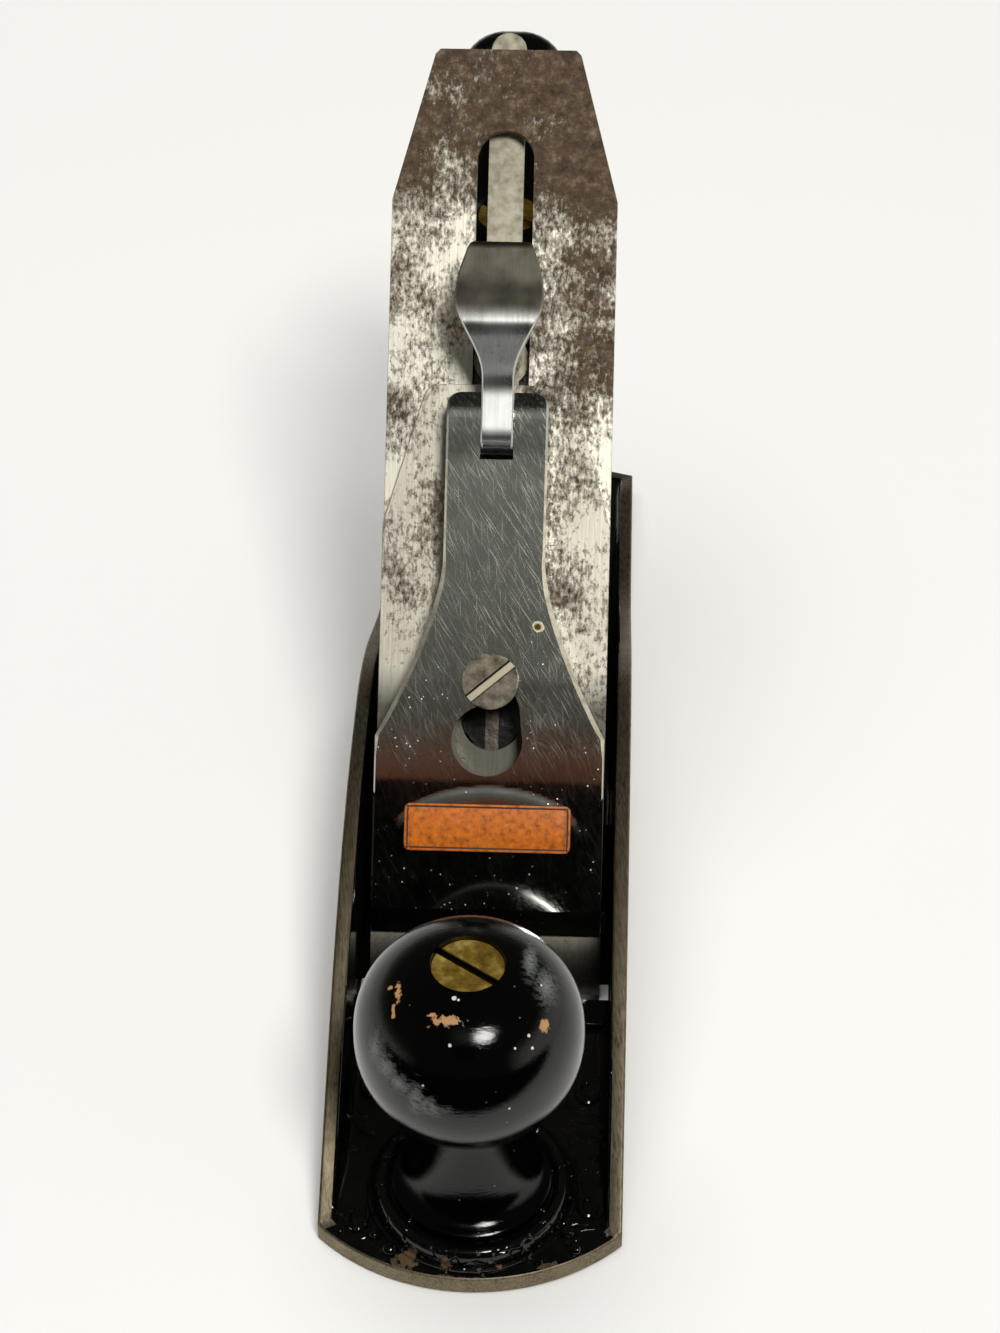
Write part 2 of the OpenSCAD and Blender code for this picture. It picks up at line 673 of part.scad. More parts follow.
module frog_adjusting_screw() {
    neck_end = frog_rear + clip_t + clip_gap;
    flange_start = frog_rear - clip_gap - adjust_flange_t;
    thread_start = seat_rear - adjust_depth + frog_travel + past;
    color([0.35, 0.34, 0.32]) from_edge() translate([0, 0, adjust_z]) difference() {
        union() {
            translate([0, thread_start, 0]) rod_y(adjust_r, flange_start - thread_start + fit_gap);
            translate([0, flange_start, 0]) rod_y(adjust_flange_r, adjust_flange_t);
            translate([0, flange_start, 0]) rod_y(adjust_neck_r, neck_end - flange_start + fit_gap);
            translate([0, neck_end, 0]) rod_y(adjust_head_r, adjust_head_t);
        }
        translate([0, neck_end + adjust_head_t - nut_slot_depth, 0]) rotate([-90, 0, 0])
            screw_slot(nut_slot_w, nut_slot_depth, 2 * adjust_head_r);
    }
}

// Depth adjuster: a brass wheel on a left-hand screw, and the forked lever that it swings
stud_end = 86;
collar_t = 1.6;
collar_r = 7.5;
hub_r = 4.7;
wheel_rim = 2.2;
wheel_dish = 1.2;
wheel_boss_r = 6;
fork_in = 5.2;
fork_w = 3;
yoke_hub_r = 3.8;
yoke_hub_w = 8;
yoke_tip_r = 2.1;
fork_bridge_top = 6.2;
fork_bridge_h = 3;
fork_drop = 3;

module yoke_pin() {
    color([0.4, 0.39, 0.36]) on_bed() translate([0, yoke_s, -yoke_n])
        rod_x(pin_r, 2 * (yoke_slot_half + lug_t));
}

module adjuster_stud() {
    color([0.4, 0.38, 0.35]) from_edge() translate([0, boss_start + fit_gap, depth_z])
        rod_y(stud_d / 2, stud_end - boss_start);
}

module depth_nut() {
    front = -groove_w / 2 - collar_t;
    wheel_front = groove_w / 2 + collar_t;
    color([0.6, 0.46, 0.18]) from_edge() translate([0, depth_y, depth_z]) difference() {
        union() {
            translate([0, front, 0]) rod_y(collar_r, collar_t);
            translate([0, front, 0]) rod_y(hub_r, wheel_front - front);
            translate([0, groove_w / 2, 0]) rod_y(collar_r, collar_t);
            translate([0, wheel_front, 0]) rod_y(wheel_d / 2, wheel_t);
        }
        translate([0, front - past, 0])
            rod_y(stud_d / 2 + fit_gap, wheel_front - front + wheel_t + 2 * past);
        translate([0, wheel_front + wheel_t - wheel_dish, 0]) difference() {
            rod_y(wheel_d / 2 - wheel_rim, wheel_dish + past);
            translate([0, -past, 0]) rod_y(wheel_boss_r, wheel_dish + 3 * past);
        }
    }
}

module yoke_lever() {
    color([0.2, 0.19, 0.18]) difference() {
        union() {
            on_bed() {
                translate([0, yoke_s, -yoke_n]) rod_x(yoke_hub_r, yoke_hub_w);
                translate([0, yoke_s, cap_t / 2]) rod_x(yoke_tip_r, yoke_hub_w);
                translate([-yoke_hub_w / 2, yoke_s - yoke_tip_r, -yoke_n])
                    cube([yoke_hub_w, 2 * yoke_tip_r, yoke_n + cap_t / 2]);
            }
            from_edge() translate([0, depth_y - fork_t / 2, yoke_z]) {
                translate([-yoke_hub_w / 2, 0, -fork_bridge_top - fit_gap])
                    cube([yoke_hub_w, fork_t, fork_bridge_top]);
                translate([-fork_in - fork_w, 0, -fork_bridge_top - fork_bridge_h])
                    cube([2 * (fork_in + fork_w), fork_t, fork_bridge_h]);
                both_sides(fork_in + fork_w / 2)
                    translate([-fork_w / 2, 0, -yoke_reach - fork_drop])
                        cube([fork_w, fork_t, yoke_reach + fork_drop - fork_bridge_top]);
            }
        }
        on_bed() translate([0, yoke_s, -yoke_n]) rod_x(pin_r + fit_gap, yoke_hub_w + 2 * past);
    }
}

// Side lever under the iron, its pivot rivet, the disc in the iron's slot and the thumb piece
side_t = 1.6;
side_lift = 0.1;
side_n = side_floor_n + side_lift;
side_top_n = side_n + side_t;
disc_top_n = -0.4;
rivet_head_r = 4;
rivet_head_t = 1;
thumb_len = 13;
thumb_drop = 9.4;
thumb_t = 2;
thumb_foot_w = 6;
thumb_corner = 3;
thumb_inset = 1.5;

module lateral_rivet() {
    tail_n = -iron_t - frog_plate_t;
    color([0.45, 0.44, 0.4]) on_bed() translate([0, side_pivot_s, 0]) {
        translate([0, 0, tail_n - rivet_head_t]) cylinder(r = rivet_head_r, h = rivet_head_t);
        translate([0, 0, tail_n - fit_gap])
            cylinder(r = rivet_r, h = side_top_n - tail_n + 2 * fit_gap);
        translate([0, 0, side_top_n + fit_gap]) cylinder(r = rivet_head_r, h = rivet_head_t);
    }
}

module lateral_lever() {
    disc_s = side_pivot_s - disc_reach;
    round_s = side_end_s - side_lever_w / 2;
    color([0.55, 0.53, 0.45]) on_bed() translate([0, 0, side_n]) difference() {
        union() {
            translate([0, disc_s, 0]) cylinder(d = disc_d, h = side_t);
            translate([0, side_pivot_s, 0]) cylinder(d = disc_d, h = side_t);
            translate([0, round_s, 0]) cylinder(d = side_lever_w, h = side_t);
            translate([-side_lever_w / 2, disc_s, 0])
                cube([side_lever_w, round_s - disc_s, side_t]);
        }
        translate([0, side_pivot_s, -past]) cylinder(r = rivet_r + fit_gap, h = side_t + 2 * past);
    }
}

module lateral_disc() {
    color([0.5, 0.48, 0.42]) on_bed() translate([0, side_pivot_s - disc_reach, side_top_n])
        cylinder(d = disc_d, h = disc_top_n - side_top_n);
}

module lateral_thumb_piece() {
    color([0.5, 0.48, 0.42]) on_bed() translate([0, side_end_s - thumb_len - thumb_inset, side_n]) {
        translate([-thumb_foot_w / 2, 0, -side_t]) cube([thumb_foot_w, thumb_len, side_t]);
        across(thumb_t) union() {
            translate([0, -thumb_drop + thumb_corner]) square([thumb_len, thumb_drop - thumb_corner]);
            translate([thumb_corner, -thumb_drop])
                square([thumb_len - 2 * thumb_corner, thumb_corner + fit_gap]);
            for (s = [thumb_corner, thumb_len - thumb_corner])
                translate([s, -thumb_drop + thumb_corner]) circle(thumb_corner);
        }
    }
}

// Cutting iron, with its ground bevel, keyhole and long slot
iron_corner = 2;
cap_corner = 3;

module tapered_outline(w, top_w, low_s, taper_s, top_s, corner) {
    polygon([[-w / 2, low_s], [w / 2, low_s], [w / 2, taper_s],
             [top_w / 2, top_s - corner / 2], [top_w / 2 - corner / 2, top_s],
             [corner / 2 - top_w / 2, top_s], [-top_w / 2, top_s - corner / 2],
             [-w / 2, taper_s]]);
}

module cutter() {
    color([0.55, 0.52, 0.46]) on_bed() difference() {
        intersection() {
            translate([0, 0, -iron_t]) linear_extrude(iron_t)
                tapered_outline(iron_w, iron_top_w, 0, shoulder_s, iron_len, iron_corner);
            across(iron_w) polygon([[0, 0], [iron_t / tan(bevel_angle), -iron_t],
                                    [iron_len, -iron_t], [iron_len, 0]]);
        }
        translate([0, keyhole_s, -iron_t - past]) cylinder(d = keyhole_d, h = iron_t + 2 * past);
        translate([0, slot_top_s - slot_w / 2, -iron_t - past])
            cylinder(d = slot_w, h = iron_t + 2 * past);
        translate([-slot_w / 2, keyhole_s, -iron_t - past])
            cube([slot_w, slot_top_s - slot_w / 2 - keyhole_s, iron_t + 2 * past]);
    }
}

// Cap iron: a flat plate with a sprung hump at its front, screwed to the cutting iron
hump_r = hump_len * hump_len / (8 * hump_h) + hump_h / 2;
hump_s = cap_setback + hump_len / 2;
cap_slot_w = 11.6;
cap_slot_low = 47.8;
cap_slot_high = 69;
cap_tip_slot_w = 12.4;
tip_gap = 0.35;
hump_lap = 0.6;

module cap_iron() {
    cap_end = cap_setback + cap_len;
    flat_start = hump_s + sqrt(pow(hump_r - cap_t, 2) - pow(hump_r - hump_h, 2)) - hump_lap;
    color([0.5, 0.48, 0.44]) on_bed() difference() {
        intersection() {
            union() {
                translate([-iron_w / 2, flat_start, 0])
                    cube([iron_w, cap_end - flat_start, cap_t]);
                intersection() {
                    translate([0, hump_s, hump_h - hump_r]) difference() {
                        rod_x(hump_r, iron_w);
                        rod_x(hump_r - cap_t, iron_w + 2 * past);
                    }
                    translate([-iron_w, cap_setback, 0])
                        cube([2 * iron_w, flat_start + past - cap_setback, 2 * hump_h]);
                }
            }
            linear_extrude(2 * hump_h) tapered_outline(iron_w, cap_top_w, 0, cap_taper_s, cap_end,
                                                       cap_corner);
        }
        for (s = [cap_slot_low + cap_slot_w / 2, cap_slot_high - cap_slot_w / 2])
            translate([0, s, -past]) cylinder(d = cap_slot_w, h = cap_t + 2 * past);
        translate([-cap_slot_w / 2, cap_slot_low + cap_slot_w / 2, -past])
            cube([cap_slot_w, cap_slot_high - cap_slot_low - cap_slot_w, cap_t + 2 * past]);
        translate([-cap_tip_slot_w / 2, yoke_s - yoke_tip_r - tip_gap, -past])
            cube([cap_tip_slot_w, 2 * (yoke_tip_r + tip_gap), cap_t + 2 * past]);
        translate([0, cap_screw_s, -past])
            cylinder(r = cap_screw_d / 2 + fit_gap, h = cap_t + 2 * past);
    }
}

module cap_iron_screw() {
    head_t = -recess_n - iron_t - slide_gap - fit_gap;
    color([0.4, 0.38, 0.35]) on_bed() translate([0, cap_screw_s, 0]) difference() {
        union() {
            translate([0, 0, -iron_t - head_t]) cylinder(d = cap_screw_head_d, h = head_t);
            translate([0, 0, -iron_t - fit_gap]) cylinder(d = cap_screw_d, h = iron_t + cap_t);
        }
        translate([0, 0, -iron_t - head_t - past])
            translate([-cap_screw_head_d, -nut_slot_w / 2, 0])
                cube([2 * cap_screw_head_d, nut_slot_w, past + nut_slot_depth]);
    }
}

// Lever cap: a plated casting hooked under its screw and locked by the cam lever
lever_floor = 4.6;
lever_front_n = 4.45;
lever_lip_s = 17;
lever_lip_n = 8.3;
lever_top_n = 11.2;
lever_face_low_s = 45;
lever_ear_s = 103.5;
lever_corner = 2.5;
lever_sink = 0.2;
lever_brow = 4;
lever_brow_drop = 1.2;
flare_power = 1.5;
cam_slot_gap = 0.1;
screw_head_t = 2.6;
screw_slot_angle = 40;
kidney_len = 11.3;
kidney_lobe_r = 6.8;
kidney_neck_r = 4.1;
screw_slot_w = 1.9;

// Half width of the lever cap at s
function lever_half(s) =
    s <= lever_shoulder_s ? lever_cap_w / 2 :
    s >= lever_neck_s ? lever_neck_w / 2 :
    lever_neck_w / 2 + (lever_cap_w - lever_neck_w) / 2
        * pow((lever_neck_s - s) / (lever_neck_s - lever_shoulder_s), flare_power);

module lever_outline() {
    top_half = lever_neck_w / 2;
    side = concat(
        [[lever_cap_w / 2, lever_front_s]],
        [for (i = [0:10]) let (s = lever_shoulder_s + (lever_neck_s - lever_shoulder_s) * i / 10)
            [lever_half(s), s]],
        [[top_half, lever_top_s - lever_corner]],
        [for (a = [30, 60]) [top_half - lever_corner * (1 - cos(a)),
                             lever_top_s - lever_corner * (1 - sin(a))]],
        [[top_half - lever_corner, lever_top_s]]);
    polygon(concat(side, [for (i = [len(side) - 1:-1:0]) [-side[i][0], side[i][1]]]));
}

// The hole that lets the lever cap lift off over its screw: a wide lobe, and a neck to one side
module kidney_hole() {
    lobe = [-0.5, cap_hole_s - kidney_len];
    bend = [1.6, cap_hole_s - kidney_len / 2];
    translate(lobe) circle(kidney_lobe_r);
    translate(bend) circle(kidney_neck_r);
    translate([0, cap_hole_s]) circle(kidney_neck_r);
    polygon([[-kidney_neck_r, cap_hole_s], [kidney_neck_r, cap_hole_s],
             bend + [kidney_neck_r, 0], lobe + [kidney_lobe_r, 0], lobe,
             bend - [kidney_neck_r, 0]]);
}

module lever_cap() {
    color([0.6, 0.61, 0.6]) on_bed() difference() {
        intersection() {
            linear_extrude(lever_top_n + past) lever_outline();
            across(lever_cap_w) polygon([
                [lever_front_s, lever_front_n],
                [lever_front_s, lever_front_n + lever_edge_t],
                [lever_lip_s, lever_lip_n],
                [lever_face_low_s, lever_face - lever_sink],
                [cap_hole_s, lever_face],
                [lever_neck_s, lever_face],
                [lever_ear_s, lever_top_n],
                [lever_top_s - lever_brow, lever_top_n],
                [lever_top_s, lever_top_n - lever_brow_drop],
                [lever_top_s, lever_floor],
                [lever_lip_s, lever_floor]]);
        }
        linear_extrude(lever_top_n + past) kidney_hole();
        translate([-cam_stem_w / 2 - cam_slot_gap, lever_ear_s, 0])
            cube([cam_stem_w + 2 * cam_slot_gap, lever_top_s, lever_top_n + past]);
        translate([0, cam_s, cam_n]) rod_x(cam_pin_d / 2 + fit_gap, lever_cap_w);
        translate([0, spring_rivet_s, lever_floor - past])
            cylinder(r = spring_rivet_r + fit_gap, h = past + spring_rivet_h);
    }
}

module lever_cap_screw() {
    color([0.5, 0.49, 0.45]) on_bed() translate([0, cap_hole_s, 0]) difference() {
        union() {
            translate([0, 0, lever_hole_n + fit_gap])
                cylinder(d = lever_screw_d, h = lever_face - lever_hole_n);
            translate([0, 0, lever_face + fit_gap])
                cylinder(d = lever_screw_head_d, h = screw_head_t);
        }
        rotate([0, 0, screw_slot_angle]) translate([0, 0, lever_face + screw_head_t - nut_slot_depth])
            screw_slot(screw_slot_w, nut_slot_depth, lever_screw_head_d);
    }
}

// Cam lever: an eccentric hub on a pin, a narrow stem and a spoon-shaped thumb end
cam_r = 4.25;
cam_offset = 0.85;
cam_stem_end = 119;
cam_wide_s = 134;
cam_heel = 3.4;
cam_blunt = 2.6;
cam_round_parts = 8;
// Side view of the lever from its pin to its end, upper face then lower face: each place is a
// share of that length and a height above the pin
CAM_TOP = [[0, 4.3], [0.14, 4.5], [0.28, 5.2], [0.44, 6.7], [0.58, 7.5], [0.75, 7.2],
           [0.89, 6.9], [1, 7.6]];
CAM_UNDER = [[1, 6.4], [0.89, 5.2], [0.75, 5], [0.58, 4.9], [0.44, 3.7], [0.28, 1.6],
             [0.14, 0.2], [0.08, -1.8]];
function cam_side(shape) =
    curve([for (p = shape) [cam_s + p[0] * (cam_end_s - cam_s), cam_n + p[1]]], 3);

module cam_outline() {
    half = cam_thumb_w / 2;
    stem = cam_stem_w / 2;
    side = concat(
        [[stem, cam_s - cam_r], [stem, cam_stem_end]],
        [for (i = [1:cam_round_parts]) let (t = i / cam_round_parts)
            [stem + (half - stem) * (1 - cos(180 * t)) / 2,
             cam_stem_end + (cam_wide_s - cam_stem_end) * t]],
        [for (i = [1:cam_round_parts]) let (t = i / cam_round_parts)
            [half - cam_blunt * (1 - cos(90 * t)), cam_wide_s + (cam_end_s - cam_wide_s) * t]]);
    polygon(concat(side, [for (i = [len(side) - 1:-1:0]) [-side[i][0], side[i][1]]]));
}

module cam_lever() {
    color([0.55, 0.56, 0.55]) on_bed() difference() {
        union() {
            translate([0, cam_s, cam_n - cam_offset]) rod_x(cam_r, cam_stem_w);
            intersection() {
                linear_extrude(2 * cam_n) cam_outline();
                across(cam_thumb_w + past) polygon(concat(
                    cam_side(CAM_TOP), cam_side(CAM_UNDER),
                    [[cam_s - cam_heel, cam_n - past], [cam_s - cam_heel, cam_n + cam_heel]]));
            }
        }
        translate([0, cam_s, cam_n]) rod_x(cam_pin_d / 2 + fit_gap, cam_stem_w + 2 * past);
    }
}

module cam_pin() {
    color([0.5, 0.5, 0.48]) on_bed() translate([0, cam_s, cam_n])
        rod_x(cam_pin_d / 2, lever_neck_w);
}

// Flat spring riveted under the lever cap, which the cam presses on the cap iron
spring_rivet_s = 88;
spring_rivet_r = 1.6;
spring_rivet_h = 3;
spring_half = 5;
spring_tail = 7;
spring_flat = 6;
spring_bend = 15;
spring_inset = 2;
rivet_lip = 1.2;
spring_gap = 0.1;
spring_low_n = cap_t + spring_gap;

module lever_cap_spring() {
    high = lever_floor - spring_t;
    color([0.45, 0.45, 0.43]) on_bed() difference() {
        across(2 * spring_half) polygon([
            [spring_rivet_s - spring_tail, high], [spring_rivet_s + spring_flat, high],
            [spring_rivet_s + spring_bend, spring_low_n],
            [lever_top_s - spring_inset, spring_low_n],
            [lever_top_s - spring_inset, spring_low_n + spring_t],
            [spring_rivet_s + spring_bend, spring_low_n + spring_t],
            [spring_rivet_s + spring_flat, lever_floor],
            [spring_rivet_s - spring_tail, lever_floor]]);
        translate([0, spring_rivet_s, 0]) cylinder(r = spring_rivet_r + fit_gap, h = lever_floor + past);
    }
}

module spring_rivet() {
    head_t = 0.9;
    color([0.45, 0.45, 0.43]) on_bed() translate([0, spring_rivet_s, lever_floor - spring_t]) {
        translate([0, 0, -head_t]) cylinder(r = spring_rivet_r + rivet_lip, h = head_t);
        translate([0, 0, -fit_gap]) cylinder(r = spring_rivet_r, h = spring_t + spring_rivet_h - past);
    }
}

plane_bottom();
knob();
knob_rod();
knob_nut();
tote();
tote_rod();
tote_nut();
frog_screws();
frog_washers();
frog();
frog_clip();
frog_clip_screw();
frog_adjusting_screw();
yoke_pin();
adjuster_stud();
depth_nut();
yoke_lever();
lateral_rivet();
lateral_lever();
lateral_disc();
lateral_thumb_piece();
cutter();
cap_iron();
cap_iron_screw();
lever_cap_screw();
lever_cap();
cam_pin();
cam_lever();
lever_cap_spring();
spring_rivet();
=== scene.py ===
# Looks of an old iron smoothing plane, in the order in which the plane is put together.
import math

import bmesh
import bpy
from mathutils import Euler, Matrix, Vector
from mathutils.geometry import delaunay_2d_cdt, intersect_point_line


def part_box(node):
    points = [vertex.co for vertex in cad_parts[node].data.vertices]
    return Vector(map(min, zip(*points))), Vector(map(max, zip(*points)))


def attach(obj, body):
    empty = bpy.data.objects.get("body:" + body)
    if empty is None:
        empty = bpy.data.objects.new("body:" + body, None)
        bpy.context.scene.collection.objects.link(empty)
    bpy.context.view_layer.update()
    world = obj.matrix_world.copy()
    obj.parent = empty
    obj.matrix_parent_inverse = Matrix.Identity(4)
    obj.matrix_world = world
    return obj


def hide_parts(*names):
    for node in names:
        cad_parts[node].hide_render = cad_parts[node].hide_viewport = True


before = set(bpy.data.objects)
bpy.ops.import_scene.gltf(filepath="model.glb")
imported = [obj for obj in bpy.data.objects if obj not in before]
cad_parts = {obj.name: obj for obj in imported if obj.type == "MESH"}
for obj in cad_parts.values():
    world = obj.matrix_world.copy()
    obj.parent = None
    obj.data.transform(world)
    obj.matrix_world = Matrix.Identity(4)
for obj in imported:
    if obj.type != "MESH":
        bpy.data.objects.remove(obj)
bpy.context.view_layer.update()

scene = bpy.context.scene


# Stage: a pale sheet of paper under the plane, a soft box above the camera's right shoulder,
# a dim room with pale light low round it and a high window, and the camera's dark body.
MM = 0.001
PHOTO_TALL_PX = 1333
FOCAL_PX = 3002.65
SENSOR_MM = 36
CAMERA_AT_MM = (21.5, -439.1, 434.7)
CAMERA_TURN = (48.34, 2.64, -0.42)    # tilt up from straight down, yaw and roll, in degrees
PAPER_HALF_MM = 4000
KEY_TOWARDS = (0.239, -0.496, 0.834)
WINDOW_TOWARDS = (-0.018, -0.53, 0.848)
KEY_FAR_MM = 3500
KEY_WIDE_MM = 950
KEY_WATTS = 61
FILL_FAR_MM = 2500
FILL_WIDE_MM = 2600
FILL_WATTS = 42
CARD_AT_MM = (-20, -441, 437)
CARD_HALF_W, CARD_LOW, CARD_HIGH, HAND_LOW = 80, -200, 34, 2.6
HAND_FADE_LOW, HAND_FADE_HIGH, HAND_WAVE = 12, 26, 24
FLAG_Y, FLAG_HALF_W, FLAG_H = -166, 420, 56


def srgb(code):
    """A colour written as #rrggbb, as the linear colour that the shaders work in."""
    values = [int(code[i:i + 2], 16) / 255 for i in (1, 3, 5)]
    linear = [v / 12.92 if v <= 0.04045 else ((v + 0.055) / 1.055) ** 2.4 for v in values]
    return (*linear, 1.0)


def feed(node, inputs):
    """Gives a node its inputs: each takes a value, a colour code or another node's output."""
    for name, value in inputs.items():
        if isinstance(value, bpy.types.NodeSocket):
            node.id_data.links.new(value, node.inputs[name])
        else:
            node.inputs[name].default_value = srgb(value) if isinstance(value, str) else value


def add(tree, kind, inputs=None, stops=None, **settings):
    """Adds a shader node, with stops for a ramp, and hands back its first output."""
    made = tree.nodes.new("ShaderNode" + kind)
    for name, value in settings.items():
        setattr(made, name, value)
    feed(made, inputs or {})
    for i, (place, colour) in enumerate(stops or []):
        stop = made.color_ramp.elements[i] if i < 2 else made.color_ramp.elements.new(place)
        stop.position = place
        stop.color = srgb(colour)
    return next(output for output in made.outputs if output.enabled)


def start_material(name, roughness=0.5, metallic=0.0):
    """A new material, its node tree, its surface shader and the piece's own place in metres."""
    made = bpy.data.materials.new(name)
    made.use_nodes = True
    surface = made.node_tree.nodes["Principled BSDF"]
    feed(surface, {"Roughness": roughness, "Metallic": metallic})
    place = add(made.node_tree, "TexCoord").node.outputs["Object"]
    return made, made.node_tree, surface, place


def per(size_mm):
    """The scale of a pattern whose features are size_mm apart."""
    return 1 / (size_mm * MM)


def make_mesh(name, points_mm, faces, materials, angle=35):
    """A smooth-shaded piece from points in millimetres, with edges sharper than angle kept."""
    mesh = bpy.data.meshes.new(name)
    mesh.from_pydata([[c * MM for c in p] for p in points_mm], [], faces)
    shape = bmesh.new()
    shape.from_mesh(mesh)
    bmesh.ops.remove_doubles(shape, verts=shape.verts, dist=0.002 * MM)
    bmesh.ops.dissolve_degenerate(shape, edges=shape.edges, dist=0.001 * MM)
    bmesh.ops.recalc_face_normals(shape, faces=shape.faces)
    shape.to_mesh(mesh)
    shape.free()
    mesh.shade_smooth()
    mesh.set_sharp_from_angle(angle=math.radians(angle))
    piece = bpy.data.objects.new(name, mesh)
    scene.collection.objects.link(piece)
    for material in materials:
        mesh.materials.append(material)
    return piece


scene.view_settings.view_transform = "Standard"
camera = bpy.data.objects.new("camera", bpy.data.cameras.new("camera"))
scene.collection.objects.link(camera)
scene.camera = camera
camera.data.sensor_width = SENSOR_MM
camera.data.lens = SENSOR_MM * FOCAL_PX / PHOTO_TALL_PX
tilt, yaw, roll = (math.radians(a) for a in CAMERA_TURN)
camera.matrix_world = (Matrix.Translation(Vector(CAMERA_AT_MM) * MM) @ Matrix.Rotation(yaw, 4, "Z")
                       @ Matrix.Rotation(tilt, 4, "X") @ Matrix.Rotation(roll, 4, "Z"))

for name, towards, far, wide, watts in (
        ("key_light", KEY_TOWARDS, KEY_FAR_MM, KEY_WIDE_MM, KEY_WATTS),
        ("overhead_fill", (-0.1, 0.1, 1), FILL_FAR_MM, FILL_WIDE_MM, FILL_WATTS)):
    lamp = bpy.data.objects.new(name, bpy.data.lights.new(name, "AREA"))
    scene.collection.objects.link(lamp)
    lamp.data.energy = watts
    lamp.data.size = wide * MM
    lamp.data.shape = "DISK"
    lamp.data.color = srgb("#fffefb")[:3]
    lamp.location = Vector(towards).normalized() * far * MM
    lamp.rotation_euler = Vector(towards).to_track_quat("Z", "Y").to_euler()
    lamp.visible_glossy = name == "key_light"

room = bpy.data.worlds.new("room")
scene.world = room
room.use_nodes = True
air = room.node_tree
direction = add(air, "TexCoord")
sides = add(air, "SeparateXYZ", {"Vector": direction}).node.outputs
walls = add(air, "ValToRGB", {"Fac": sides["Z"]}, stops=[
    (0.0, "#fbfaf7"), (1.0, "#2b2b29"), (0.07, "#dddcd9"), (0.18, "#80807c"), (0.34, "#3e3e3b")])
to_window = add(air, "VectorMath", {0: direction, 1: WINDOW_TOWARDS}, operation="DOT_PRODUCT")
nearness = add(air, "MapRange", {"Value": to_window, "From Min": 0.966, "From Max": 0.997})
window = add(air, "ValToRGB", {"Fac": nearness}, stops=[
    (0.0, "#000000"), (1.0, "#8b8d88"), (0.35, "#4f4e49"), (0.7, "#686963")])
ahead = add(air, "MapRange", {"Value": sides["Y"], "From Min": -0.35, "From Max": -0.7})
dark_end = add(air, "Mix", {0: ahead, 6: walls, 7: "#2d2d2b"}, data_type="RGBA")
sky = add(air, "Mix", {0: 1.0, 6: dark_end, 7: window}, data_type="RGBA", blend_type="ADD")
to_right = add(air, "MapRange", {"Value": sides["X"], "From Min": 0.62, "From Max": 0.86})
near_floor = add(air, "MapRange", {"Value": sides["Z"], "From Min": 0.5, "From Max": 0.3})
share = add(air, "Math", {0: to_right, 1: near_floor}, operation="MULTIPLY")
sky = add(air, "Mix", {0: share, 6: sky, 7: "#f4f1ea"}, data_type="RGBA", blend_type="LIGHTEN")
feed(air.nodes["Background"], {"Color": sky})

# White paper: bright, matt, and soft enough in tone to keep the plane's shadow.
paper, tree, surface, place = start_material("white_paper", roughness=0.9)
grain = add(tree, "TexNoise", {"Vector": place, "Scale": per(120), "Detail": 2.0})
tone = add(tree, "Mix", {0: grain, 6: "#fbfaf8", 7: "#f8f8f7"}, data_type="RGBA")
feed(surface, {"Base Color": tone})
half = PAPER_HALF_MM
floor = make_mesh("floor", [(-half, -half, 0), (half, -half, 0), (half, half, 0), (-half, half, 0)],
                  [(0, 1, 2, 3)], [paper])

# Camera, hand and black card: the black camera body with a warm hand above it that fades out
# upwards, and a card before the toe. Nickel and gloss black mirror them, but no view shows them.
camera_and_hand, tree, surface, place = start_material("camera_and_hand", roughness=0.8)
parts = add(tree, "SeparateXYZ", {"Vector": place}).node.outputs
folds = add(tree, "TexNoise", {"Vector": place, "Scale": per(40), "Detail": 3.0})
rise = add(tree, "Math", {0: folds, 1: HAND_WAVE * MM, 2: parts["Y"]}, operation="MULTIPLY_ADD")
hand = add(tree, "MapRange", {"Value": parts["Y"], "From Min": HAND_LOW * MM,
                              "From Max": (HAND_LOW + 2) * MM})
skin = add(tree, "Mix", {0: folds, 6: "#4a2417", 7: "#a06a52"}, data_type="RGBA")
tone = add(tree, "Mix", {0: hand, 6: "#040404", 7: skin}, data_type="RGBA")
fade = add(tree, "MapRange", {"Value": rise, "From Min": (HAND_FADE_HIGH + HAND_WAVE / 2) * MM,
                              "From Max": (HAND_FADE_LOW + HAND_WAVE / 2) * MM})
feed(surface, {"Specular IOR Level": 0, "Base Color": tone, "Alpha": fade})
for name, half_w, low, high, middle, lean in (
        ("camera_card", CARD_HALF_W, CARD_LOW, CARD_HIGH, CARD_AT_MM, tilt),
        ("black_card", FLAG_HALF_W, CARD_LOW, CARD_LOW + FLAG_H, (0, FLAG_Y, 0.5 - CARD_LOW), math.pi / 2)):
    card = make_mesh(name, [(-half_w, low, 0), (half_w, low, 0), (half_w, high, 0), (-half_w, high, 0)],
                     [(0, 1, 2, 3)], [camera_and_hand])
    card.matrix_world = Matrix.Translation(Vector(middle) * MM) @ Matrix.Rotation(lean, 4, "X")
    card.visible_camera = False
    card.visible_shadow = False
    card.visible_diffuse = False


# Body casting: the sole, both cheeks and the seats for everything else, in one piece of grey
# iron. It is cast in sand, japanned black inside, and ground bright on its sole, sides and rims.
TOE_R, HEEL_R = 39, 62
SOLE_T, CHEEK_T, RIM_H = 4, 2.9, 7
TOE_TO_EDGE = 70
CLIMB_START, CLIMB_LEN, CHEEK_FLAT, FALL_LEN, HEEL_DROP = -60, 97, 8, 78, 16
TOE_STEPS, SIDE_STEPS, HEEL_STEPS, ROUND_STEPS = 40, 110, 34, 4
RIM_ROUND, FILLET, CHAMFER = 0.55, 3.2, 0.4
MOUTH_W, MOUTH_GAP, MOUTH_RELIEF_H, MOUTH_RELIEF_RUN, MOUTH_BACK = 47.8, 1.8, 1.6, 5, 2.97
PAD_LEN, PAD_H, LEDGE_W, LEDGE_H = 9.3, 5.5, 47.4, 7
